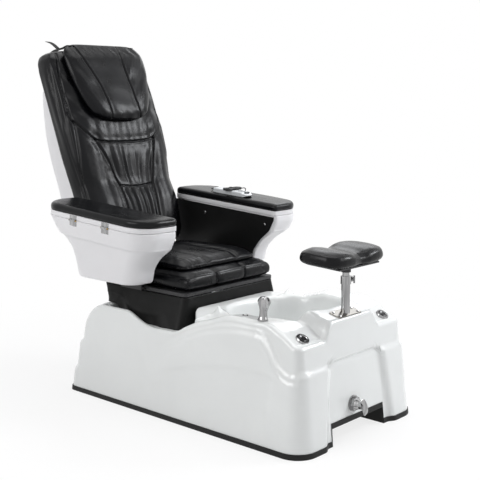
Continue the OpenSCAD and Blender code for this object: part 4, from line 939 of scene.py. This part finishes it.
def addBackShell():
    b = backSet
    ring = evenRing(cornered(b["shellHalf"], b["shellHalfHeight"], b["shellCorner"]), b["shellPoints"])
    depths = curved(b["depths"], 6)
    rows = []
    for inset, f in curved(b["shellSteps"], 5):
        inset, f = max(inset, 0), min(max(f, 0), 1)
        row = []
        for x, v in ring:
            u = b["shellMiddle"] + v * (1 - inset / b["shellHalfHeight"])
            row.append((x * (1 - inset / b["shellHalf"]), u, mix(rearPlane(u) - 0.2, along(depths, u), f)))
        rows.append(onBack(row))
    shell = shellPiece("backShellSkin", rows, (0, 1, 0), b["shellWall"], b["shellAngle"], capEnd=True)
    finish(shell, "armWhite", "back", ["back_shell"])


addBackShell()
print("back shell made")


# ---- the cloth skirt under the seat

skirtSet = {"lowHalf": 302, "highHalf": 260, "front": (-146, -140), "rear": (276, 334), "corner": 26, "top": 452,
            "ledge": 334, "rearLedge": 391, "count": 300, "rows": 30, "thick": 1.2,
            "folds": [(2.2, 7, 0, 1), (1.6, 16, 3, 0), (1.3, 27, 0, 2)]}     # (depth, how many round, lean, start)


def addSkirt():
    k = skirtSet
    rows = []
    for h in np.linspace(0, 1, k["rows"]):
        half = mix(k["lowHalf"], k["highHalf"], h ** 0.8)
        front, rear = mix(*k["front"], h), mix(*k["rear"], h)
        ring = evenRing(cornered(half, (rear - front) / 2, k["corner"]), k["count"])
        ring = np.roll(ring, k["count"] // 8, axis=0)
        row = []
        for i, (x, v) in enumerate(ring):
            t = i / k["count"] * 2 * math.pi
            fold = sum(d * math.sin(n * t + lean * h + c) for d, n, lean, c in k["folds"]) * (1 - h) ** 1.2
            crease = (groove(h - 0.42 - 0.12 * math.sin(5 * t), 0.07, 2.4)
                      * (0.5 + 0.5 * math.sin(3 * t + 0.5)))
            grow = 1 - (3 + fold - crease) * 0.0035 * (1 - 0.6 * h)
            y = (front + rear) / 2 + v * grow
            low = mix(k["ledge"] + 0.3, k["rearLedge"], float(ease(150, 215, y)))
            row.append((x * grow, y, mix(low, k["top"], h)))
        rows.append(row)
    skirt = shellPiece("seatSkirtCloth", rows, (1, 0, 0), k["thick"])
    finish(skirt, "skirtCloth", "seat", ["seat_skirt"])


addSkirt()
print("skirt made")


# ---- cushions

clothSet = {"frames": 16, "pressure": 4.0, "quality": 4, "stretch": 12, "bend": 0.6}


def plump(piece, k, hold):      # k gives the voxel, the cap on any point's move and how far the start is drawn in
    finishWith(piece, "REMESH", mode="VOXEL", voxel_size=k["voxel"] * mm)
    setPoints(piece, points(piece) - normals(piece) * k["start"] * mm)
    before, way = points(piece), normals(piece)
    pick(piece)
    cloth = piece.modifiers.new("Cloth", "CLOTH")
    fabric = cloth.settings
    fabric.quality = clothSet["quality"]
    fabric.use_pressure = True
    fabric.uniform_pressure_force = clothSet["pressure"]
    fabric.effector_weights.gravity = 0
    fabric.tension_stiffness = fabric.compression_stiffness = clothSet["stretch"]
    fabric.bending_stiffness = clothSet["bend"]
    cloth.collision_settings.use_collision = False
    cloth.point_cache.frame_start, cloth.point_cache.frame_end = 1, clothSet["frames"]
    for frame in range(1, clothSet["frames"] + 1):
        bpy.context.scene.frame_set(frame)
    bpy.ops.object.modifier_apply(modifier="Cloth")
    bpy.context.scene.frame_set(1)
    move = points(piece) - before
    size = np.linalg.norm(move, axis=1)
    keep = np.minimum(1, k["cap"] * mm / np.maximum(size, 1e-9))
    keep = keep * np.where((move * way).sum(1) < 0, 0.15, 1)
    keep = keep * (1 - hold(before, way))       # the stuffing pushes less where the cushion rests
    setPoints(piece, before + move * keep[:, None])


def startCover(node, name, k):
    piece = copyOf(node, name)
    plump(piece, k, hold=lambda co, no: ease(k["held"], 0.9, -no[:, 2]))
    soften(piece, k["softened"])
    refine(piece)
    return piece


def endCover(piece, depth, material, body, node):
    press(piece, depth)
    smooth(piece)
    finish(piece, material, body, [node])


seatSet = {
    "middle": (0, -131 + 245), "half": (239, 234), "low": 468, "high": 540, "seams": (-81, 81), "seamDepth": 5.0,
    "forward": 11, "voxel": 6, "cap": 4, "start": 0.5, "held": 0.2, "softened": 3,
}
padSet = {
    "middle": (0, 120), "half": (214, 209), "low": 540.2, "seams": (-86, 86), "seamDepth": 3.0,
    "voxel": 5.5, "cap": 3, "start": 0.5, "held": 0.1, "softened": 2,
    "creases": [(0.05, 0.035, 1.5), (-0.16, 0.035, 1.3), (0.24, 0.045, 1.4)],       # (level, width, depth)
}


def addSeatCushion():
    k = seatSet
    piece = startCover("seat_cushion", "seatCushionCover", k)
    co = points(piece)
    share = ease(40, -130, co[:, 1] / mm - centreShift)
    co[:, 1] -= k["forward"] * mm * share
    setPoints(piece, co)
    co = co / mm
    y = co[:, 1] - centreShift - k["middle"][1]
    x, z = co[:, 0], co[:, 2]
    side = normals(piece)[:, 2] < 0.75
    front = np.clip(-y / k["half"][1], 0, 1) ** 3
    depth = np.zeros(len(co))
    for place in k["seams"]:
        d = np.abs(x - place * (1 + 0.04 * (z - 500) / 40))
        depth += (welt(d, 4.2, k["seamDepth"]) + groove(d, 15, 2.2)) * front
    depth += groove(z - (k["low"] + 11), 3.0, 1.8) * side
    depth += welt(z - (k["high"] - 14 + 1.2 * np.sin(x / 37)), 3.2, 1.8) * side
    # light creases that run in from the corners and along the front roll
    folds = cloudy(co * mm, (7, 13, 22), 2.0)
    fine = cloudy(co * mm, (30, 34, 44), 5.0)
    near = np.maximum(np.abs(x) / k["half"][0], np.abs(y) / k["half"][1])
    edge = ease(0.6, 1.0, near)
    depth += (1.1 * folds + 0.25 * fine) * (0.4 + 0.6 * edge)
    depth += groove(folds - 0.16, 0.05, 1.1) * edge
    endCover(piece, depth, "softHide", "seat", "seat_cushion")


def addSeatPad():
    k = padSet
    piece = startCover("seat_pad", "seatPadCover", k)
    co = points(piece) / mm
    x, y, z = co[:, 0], co[:, 1] - centreShift - k["middle"][1], co[:, 2]
    top = ease(0.2, 0.8, normals(piece)[:, 2])
    depth = np.zeros(len(co))
    for place in k["seams"]:
        depth += welt(x - place - 3 * np.sin(y / 60), 2.4, k["seamDepth"]) * (0.3 + 0.7 * top)
        depth += groove(x - place, 15, 2.2) * top
    # the loose cover: long shallow folds from back to front, and a rumpled right front corner
    folds = cloudy(co * mm, (19, 4, 6), 11.0)
    fine = cloudy(co * mm, (44, 12, 20), 4.0)
    front = ease(0.25, 1.0, -y / k["half"][1])
    edge = ease(0.6, 1.0, np.abs(x) / k["half"][0])
    depth += (1.7 * folds + 0.5 * fine) * top * (0.6 + 0.3 * front + 0.4 * edge)
    for level, width, amount in k["creases"]:
        depth += groove(folds - level, width, amount) * top * (0.5 + 0.3 * front)
    rumple = cloudy(np.stack([(x + y) * 0.006, (x - y) * 0.030, z * 0.01], 1), (1, 1, 1), 14.0)
    depth += 3.4 * rumple * front * ease(40, 190, -x)
    depth += groove(z - (k["low"] + 12), 3.0, 1.8) * (normals(piece)[:, 2] < 0.7)
    endCover(piece, depth, "softHide", "seat", "seat_pad")


addSeatCushion()
addSeatPad()
print("seat made")


# ---- the back cushion, worked in its own coordinates: x across, u up the slope, w forwards

backCushionSet = {
    "voxel": 6, "cap": 6, "start": 2, "calming": 36, "softened": 8,
    # each seam as (half width from the middle, place up the slope)
    "yokeSeam": [(0, 498), (60, 499), (100, 501), (140, 506), (165, 514), (185, 528), (208, 555), (232, 590),
                 (245, 606), (252, 640)],
    "sideSeam": [(165, 514), (145, 458), (124, 405), (109, 356), (93, 308), (89, 257), (85, 205), (82, 120), (80, 62)],
    "lowSeam": [(0, 297), (60, 302), (93, 309)],
    "bolsterSeam": [(247, 66), (250, 200), (249, 400), (245, 500), (240, 600), (244, 700), (240, 790), (232, 860),
                    (216, 911)],
    # how far the middle panel sits off centre, as (place up the slope, offset)
    "middle": [(62, 8), (308, 14), (400, 12), (515, 4), (600, 0)],
    # (seam, how far its dip reaches, width, height of its welt, depth of its dip)
    "sewn": [("yokeSeam", 26, 4.6, 8.5, 4.6), ("sideSeam", 24, 4.6, 8.5, 5.0), ("bolsterSeam", 15, 4.4, 5.5, 2.4)],
    "pleats": 5, "pleatDepth": 2.73, "wrinkle": 3.6, "fill": 27, "flankCreases": [(78, 3.2), (58, 2.2)],
}


def frontOf(no):
    return -no[:, 1] * math.sin(backTurn) + no[:, 2] * math.cos(backTurn)


def acrossAt(line, u):      # how far across a seam stands at each place up the slope; it runs downwards
    return along([(place, x) for x, place in line[::-1]], u)


def backSeams(ax, u, front, sideAtU):
    k = backCushionSet
    depth = np.zeros(len(u))
    for name, reach, width, height, dip in k["sewn"]:
        d = lineDistance(ax, u, k[name])
        depth += (welt(d, width, height) + groove(d, reach, dip)) * front
    low = lineDistance(ax, u, k["lowSeam"])
    return depth + (welt(low, 4.4, 7.0) + groove(low, 18, 4.0)) * front * ease(8, -8, ax - sideAtU)


def backPleats(x, u, sideAtU):      # they hang from the yoke and are gathered again at the lower seam
    k = backCushionSet
    share = x / np.maximum(sideAtU, 40)
    drift = 0.05 * np.sin(u / 47.0) + 0.05 * np.sin(4 * share + 1)
    wave = np.cos((share + drift) * k["pleats"] * math.pi)
    wave = np.sign(wave) * np.abs(wave) ** 1.3
    hang = ease(306, 324, u) * (0.62 + 0.38 * np.cos((u - 402) / 95.0 * math.pi))
    low = np.cos((share * 0.8 + 0.05 * np.sin(u / 40.0)) * (k["pleats"] + 1) * math.pi + 0.4)
    return k["pleatDepth"] * (wave * hang + low * ease(304, 280, u))


def backDragLines(x, u, w, sideAtU, yoke, sides):   # nearly level at the side seams, slanting at the yoke's ends
    ax = np.abs(x)
    level = cloudy(np.stack([x * 0.004, u * 0.034 + ax * 0.010, w * 0.01], 1), (1, 1, 1), 7.0)
    slant = dragLines(ax, u, w, (0.7, 0.7), (0.006, 0.022), 21.0)
    thin = dragLines(ax, u, w, (0.6, 0.8), (0.010, 0.055), 27.0)
    outer = ease(262, 235, ax)
    return backCushionSet["wrinkle"] * (
        0.9 * level * sides * groove(ax - sideAtU - 10, 26, 1) * ease(300, 400, u)
        + 1.5 * slant * yoke * outer * (0.15 + 0.85 * ease(95, 175, ax))
        + 0.32 * thin * (yoke * ease(70, 150, ax) + 0.2 * sides) * outer)


def backCreases(no, u, w):      # two long creases down each side face, close to the front edge
    flank = ease(0.4, 0.9, np.abs(no[:, 0])) * ease(880, 800, u) * ease(70, 160, u)
    return sum(welt(w - place + 0.028 * (u - 480) - 5 * np.sin(u / 140 + place), 5.0, amount) * flank
               for place, amount in backCushionSet["flankCreases"])


def addBackCushion():
    k = backCushionSet
    piece = copyOf("back_cushion", "backCushionCover")
    plump(piece, k, hold=lambda co, no: ease(0.1, 0.8, -frontOf(no)))
    # evens out the front between the bolsters, so that the sewn details start from a calm surface
    x = fromBack(points(piece))[:, 0]
    calm = piece.vertex_groups.new(name="calm")
    share = ease(0.3, 0.8, frontOf(normals(piece))) * ease(244, 215, np.abs(x))
    for i in np.nonzero(share > 0.01)[0]:
        calm.add([int(i)], float(share[i]), "REPLACE")
    soften(piece, k["calming"], vertex_group="calm")
    piece.vertex_groups.clear()
    soften(piece, k["softened"])
    refine(piece)
    co, no = points(piece), normals(piece)
    x, u, w = fromBack(co).T
    x = x - along(k["middle"], u) * ease(250, 200, np.abs(x))
    ax = np.abs(x)
    front = ease(0.15, 0.75, frontOf(no))
    sideAtU = acrossAt(k["sideSeam"], u)
    yokeAtX = along(k["yokeSeam"], ax)
    centre = ease(0, -12, ax - sideAtU) * ease(0, -12, u - yokeAtX)        # the pleated middle panel
    yoke = ease(0, 12, u - yokeAtX)
    sides = (1 - yoke) * (1 - centre)
    depth = backSeams(ax, u, front, sideAtU) + backPleats(x, u, sideAtU) * centre * front
    depth += backDragLines(x, u, w, sideAtU, yoke, sides) * front
    depth -= k["fill"] * ease(0.86, 0.44, ax / 258) * ease(690, 600, u) * ease(62, 110, u) * front
    broad, fine = cloudy(co, (5, 5, 5), 31.0), cloudy(co, (22, 22, 16), 17.0)
    depth += (1.0 * broad + 0.25 * fine) * (0.2 + 0.8 * front) * ease(262, 240, ax)
    depth += backCreases(no, u, w)
    endCover(piece, depth, "softHide", "back", "back_cushion")


# ---- the head pad: a flap with three panels, laid on the back

headSet = {
    "outline": [(0, 588), (60, 590), (108, 599), (146, 620), (169, 655), (186, 700), (199, 750), (208, 800), (213, 845),
                (214, 880), (206, 908), (188, 926), (160, 935), (110, 937), (0, 937)],
    "rightSeam": [(-156, 934), (-150, 895), (-139, 857), (-117, 807), (-91, 738), (-80, 677), (-71, 610), (-70, 590)],
    "leftSeam": [(80, 934), (74, 906), (67, 842), (74, 761), (80, 677), (89, 617), (92, 590)],
    # the pad's section as (share of the outline, height), and the face of the back below it
    "profile": [(0.90, 0.0), (0.955, 0.3), (0.985, 2.0), (1.0, 5.5), (1.003, 9.5), (0.995, 14.0), (0.975, 19.0),
                (0.94, 23.5), (0.89, 27.5), (0.82, 30.5), (0.72, 32.4), (0.6, 33.5), (0.45, 34.0), (0.28, 34.2)],
    "middle": (0, 770.0), "base": (108, -0.112, 700), "fuller": 1.25, "points": 300, "voxel": 4.5,
    "puckers": (606, 905),
}


def addHeadPad():
    k = headSet
    ring = evenRing(k["outline"] + [(-x, u) for x, u in k["outline"][-2:0:-1]], k["points"])
    for _ in range(6):
        ring = 0.5 * ring + 0.25 * (np.roll(ring, 1, 0) + np.roll(ring, -1, 0))
    middle = np.array(k["middle"])
    low, slope, start = k["base"]
    rows = []
    for f, high in curved(k["profile"], 4):
        row = []
        for x, u in middle + (ring - middle) * f:
            row.append((x, u, low + slope * (u - start) + high * k["fuller"] * (1 - 0.3 * ease(860, 935, u))))
        rows.append(onBack(row))
    piece = gridPiece("headPadCover", rows, capStart=True, capEnd=True)
    finishWith(piece, "REMESH", mode="VOXEL", voxel_size=k["voxel"] * mm)
    refine(piece)
    co = points(piece)
    x, u, w = fromBack(co).T
    ax = np.abs(x)
    front = ease(0.15, 0.8, frontOf(normals(piece)))
    d = np.minimum(lineDistance(x, u, k["rightSeam"]), lineDistance(x, u, k["leftSeam"]))
    depth = (welt(d, 4.0, 6.5) + groove(d, 20, 3.4)) * front
    depth += welt(w - (low + slope * (u - start)) - 8, 2.0, 1.8) * (1 - front)
    slant = dragLines(ax, u, w, (0.5, 0.86), (0.007, 0.030), 41.0)
    thin = dragLines(ax, u, w, (0.5, 0.86), (0.012, 0.075), 47.0)
    outer = ease(-4, 26, np.maximum(acrossAt(k["rightSeam"], u) - x, x - acrossAt(k["leftSeam"], u)))
    depth += (4.4 * slant + 0.8 * thin) * outer * front
    across = dragLines(x, u, w, (0.5, 0.86), (0.016, 0.008), 71.0)
    depth += 1.6 * across * (1 - outer) * front
    broad = cloudy(np.stack([x * 0.008, u * 0.016, w * 0.01], 1), (1, 1, 1), 51.0)
    depth += 1.8 * broad * front
    for n, place in enumerate(k["puckers"]):
        depth += 1.3 * np.cos(x / (9.5 - n) + np.sin(u / 11.0)) * groove(u - place, 26, 1) * front
    endCover(piece, depth, "softHide", "back", "head_cushion")


addBackCushion()
addHeadPad()
print("back made")


# ---- the foot pad

footSet = {"voxel": 4.5, "cap": 5, "start": 2, "held": 0.3, "softened": 5}


def addFootPad():
    piece = startCover("foot_pad", "footPadCover", footSet)
    co = points(piece)
    depth = 0.7 * cloudy(co, (6, 6, 6), 61.0) + 0.1 * cloudy(co, (34, 34, 34), 66.0)
    endCover(piece, depth, "tightHide", "footrest", "foot_pad")


addFootPad()
print("foot pad made")


# ---- the hand control, its keys and its cord

controlSet = {
    "middle": (332, 162), "high": 50.1, "length": 200, "width": 58, "thick": 20, "corner": 22,
    # (drawn in, share of the height)
    "profile": [(6, 0), (2.4, 0), (0.7, 0.05), (0, 0.18), (0, 0.42), (0.5, 0.5), (0, 0.58), (0, 0.8), (0.8, 0.93),
                (2.6, 0.99), (5, 1.0), (10, 1.02), (17, 1.03), (24, 1.03)],
}
cordSet = {
    "diameter": 4, "sides": 12, "relief": 14, "gland": (52, 132, 6), "loops": 4.5, "run": 34, "perLoop": 40,
    "tieHalf": 6, "tieThick": 0.8,
}


def onControl(co):
    co = np.array(co, float) + np.array([*controlSet["middle"], controlSet["high"]])
    return onSeam(co)


def hankPath():
    d = cordSet["diameter"]
    pitch, inner, run = d + 1.25, 2.1 * d, cordSet["run"]
    outer = inner + 2 * pitch
    base = controlSet["thick"] + 0.3 + d / 2

    def rho(t):
        return outer - pitch * t if t < 2 else inner if t < 2.5 else inner + pitch * (t - 2.5)

    def high(t):
        return base + pitch * float(ease(2, 2.5, t))

    def waist(x):
        return 3.2 * math.cos(math.radians(x * 90 / run)) ** 2
    path = [(run + 2 * d, outer, base), (run + d, outer, base)]
    count = int(cordSet["loops"] * cordSet["perLoop"] + cordSet["perLoop"] / 4)
    for i in range(count + 1):
        t = i / cordSet["perLoop"]
        f = (t - math.floor(t)) * 4
        r, q = rho(t), f - math.floor(f)
        if f < 1:
            x = run * (1 - 2 * q)
            place = (x, r - waist(x))
        elif f < 2:
            place = (-run - r * math.sin(math.pi * q), r * math.cos(math.pi * q))
        elif f < 3:
            x = run * (2 * q - 1)
            place = (x, -r + waist(x))
        else:
            place = (run + r * math.sin(math.pi * q), -r * math.cos(math.pi * q))
        path.append((*place, high(t)))
    path += [(run + d, -rho(4.75), high(4.75)), (run + 2 * d, -rho(4.75), high(4.75))]
    return path, outer, base


def cordRoute():
    hank, outer, base = hankPath()
    d, run = cordSet["diameter"], cordSet["run"]
    half = controlSet["length"] / 2
    end = np.array(hank[-1])
    routeIn = [(0, half + cordSet["relief"], 10), (0, 118, 10), (2, 126, 9), (10, 134, 6), (22, 130, 4),
               (32, 116, 3), (40, 96, 3), (50, 70, 3), (62, 46, 6), (70, 30, 14), (64, outer, base - 1),
               (run + 2 * d + 7, outer, base), (run + 2 * d + 3, outer, base), hank[0]]
    routeOut = [tuple(end), tuple(end + [3, 0, 0]), tuple(end + [7, 0, 0]), (58, end[1] - 0.5, end[2] - 2),
                (70, -14, 18), (80, -2, 7), (84, 14, 3), (84, 40, 3), (80, 80, 3), (66, 106, 3), (54, 116, 4),
                (52, 122, 6), (52, 128, 6), cordSet["gland"]]
    return np.concatenate([[(0, half + 4.5, 10)], curved(routeIn, 6), np.array(hank)[1:-1], curved(routeOut, 6)])


def sweptTube(name, path, radius, sides):
    path = np.array(path, float)
    rings = []
    ahead = np.gradient(path, axis=0)
    ahead /= np.linalg.norm(ahead, axis=1)[:, None]
    across = np.cross(ahead[0], (0, 0, 1))
    across /= np.linalg.norm(across)
    for p, t in zip(path, ahead):
        across = across - t * (across @ t)
        across /= np.linalg.norm(across)
        other = np.cross(t, across)
        rings.append([p + radius * (math.cos(a) * across + math.sin(a) * other)
                      for a in np.linspace(0, 2 * math.pi, sides, endpoint=False)])
    return gridPiece(name, rings, capStart=True, capEnd=True)


def addCord():
    path = onControl(cordRoute())
    path = path[np.concatenate([[True], np.linalg.norm(np.diff(path, axis=0), axis=1) > 0.35])]
    cord = sweptTube("controlCord", path, cordSet["diameter"] / 2, cordSet["sides"])
    smooth(cord)
    finish(cord, "cordRubber", "lid_l", ["cord_to_control", "cord_hank", "cord_to_gland"])
    line = path.copy()
    line[:, 1] += centreShift
    # a tie round the middle of the hank
    outer, base = hankPath()[1:]
    half = cordSet["tieHalf"]
    rows = []
    for x in (-half, 0.6 - half, -half / 2, 0, half / 2, half - 0.6, half):
        grow = 0.0 if abs(x) < half else -0.7
        ring = cornered(outer + 0.4 + grow, 6.6 + grow, 5.4)
        rows.append(onControl([(x, v, base + 2.6 + w) for v, w in ring]))
    tie = gridPiece("cordTie", rows)
    thicken(tie, cordSet["tieThick"])
    smooth(tie, 40)
    finish(tie, "trimRubber", "lid_l")


def addControl():
    k = controlSet
    half, wide = k["length"] / 2, k["width"] / 2
    plan = evenRing(cornered(wide, half, k["corner"]), 160)
    rows = []
    for inset, share in k["profile"]:
        row = []
        for x, y in plan:
            px, py = x * (1 - inset / wide), y * (1 - inset / half)
            top = mix(11, 20, float(ease(-half, -half + 30, py))) - 4 * float(ease(half - 8, half, py))
            bottom = 6 * float(ease(-half + 14, -half, py)) + 5 * float(ease(half - 8, half, py))
            row.append((px, py, mix(bottom, top, share)))
        rows.append(onControl(row))
    body = gridPiece("handControlCase", rows, capStart=True, capEnd=True)
    faceOut(body, (0, 0, 1))
    smooth(body)
    finish(body, "controlCase", "lid_l", ["hand_control"])


addCord()
addControl()
print("hand control made")


# ---- straps that hold the head pad over the top of the back

strapSet = {
    "path": [(925, 101), (931.8, 84), (933.5, 52), (938.5, 22), (942.5, -4), (940.5, -36), (930, -52), (905, -56),
             (824, -49.5)],
    "from": 150, "width": 28, "thick": 2.2, "angle": 50,
    "tails": [("strapTailRight", -1, 52), ("strapTailLeft", 1, 30)],        # (name, side, how far it rises)
}


def addStraps():
    k = strapSet
    line = curved(k["path"], 6)
    way = np.gradient(line, axis=0)
    way /= np.linalg.norm(way, axis=1)[:, None]
    out = np.stack([-way[:, 1], way[:, 0]], 1)
    if out[len(out) // 3][0] < 0:
        out = -out
    wide, thick = k["width"], k["thick"]
    section = [(0, 0), (0, thick * 0.6), (0.8, thick), (7, thick), (14, thick * 0.9), (21, thick), (wide - 0.8, thick),
               (wide, thick * 0.6), (wide, 0), (21, -0.1), (7, -0.1)]
    rows = []
    for (u, w), (nu, nw) in zip(line, out):
        rows.append(onBack([(k["from"] + x, u + nu * t, w + nw * t) for x, t in section]))
    left = gridPiece("headStrapLeft", rows, capStart=True, capEnd=True)
    smooth(left, k["angle"])
    right = mirrored(left, "headStrapRight")
    # the loose end of each strap stands up where it comes out of its stitching
    tails = []
    tailSection = ((2, 0), (2, 2.2), (13, 2.5), (24, 2.2), (24, 0), (13, 0.1))
    for name, side, lift in k["tails"]:
        rows = []
        for f in np.linspace(0, 1, 14):
            u = 945 + lift * f + 7 * math.sin(math.pi * f)
            w = 8 - 58 * f
            rows.append(onBack([(side * (k["from"] + x + 2 * f), u + t, w) for x, t in tailSection]))
        tail = gridPiece(name, rows, capStart=True, capEnd=True)
        smooth(tail, k["angle"])
        tails.append(tail)
    finish(left, "skirtCloth", "back", ["head_straps"])
    for piece in [right] + tails:
        finish(piece, "skirtCloth", "back")


addStraps()
print("straps made")
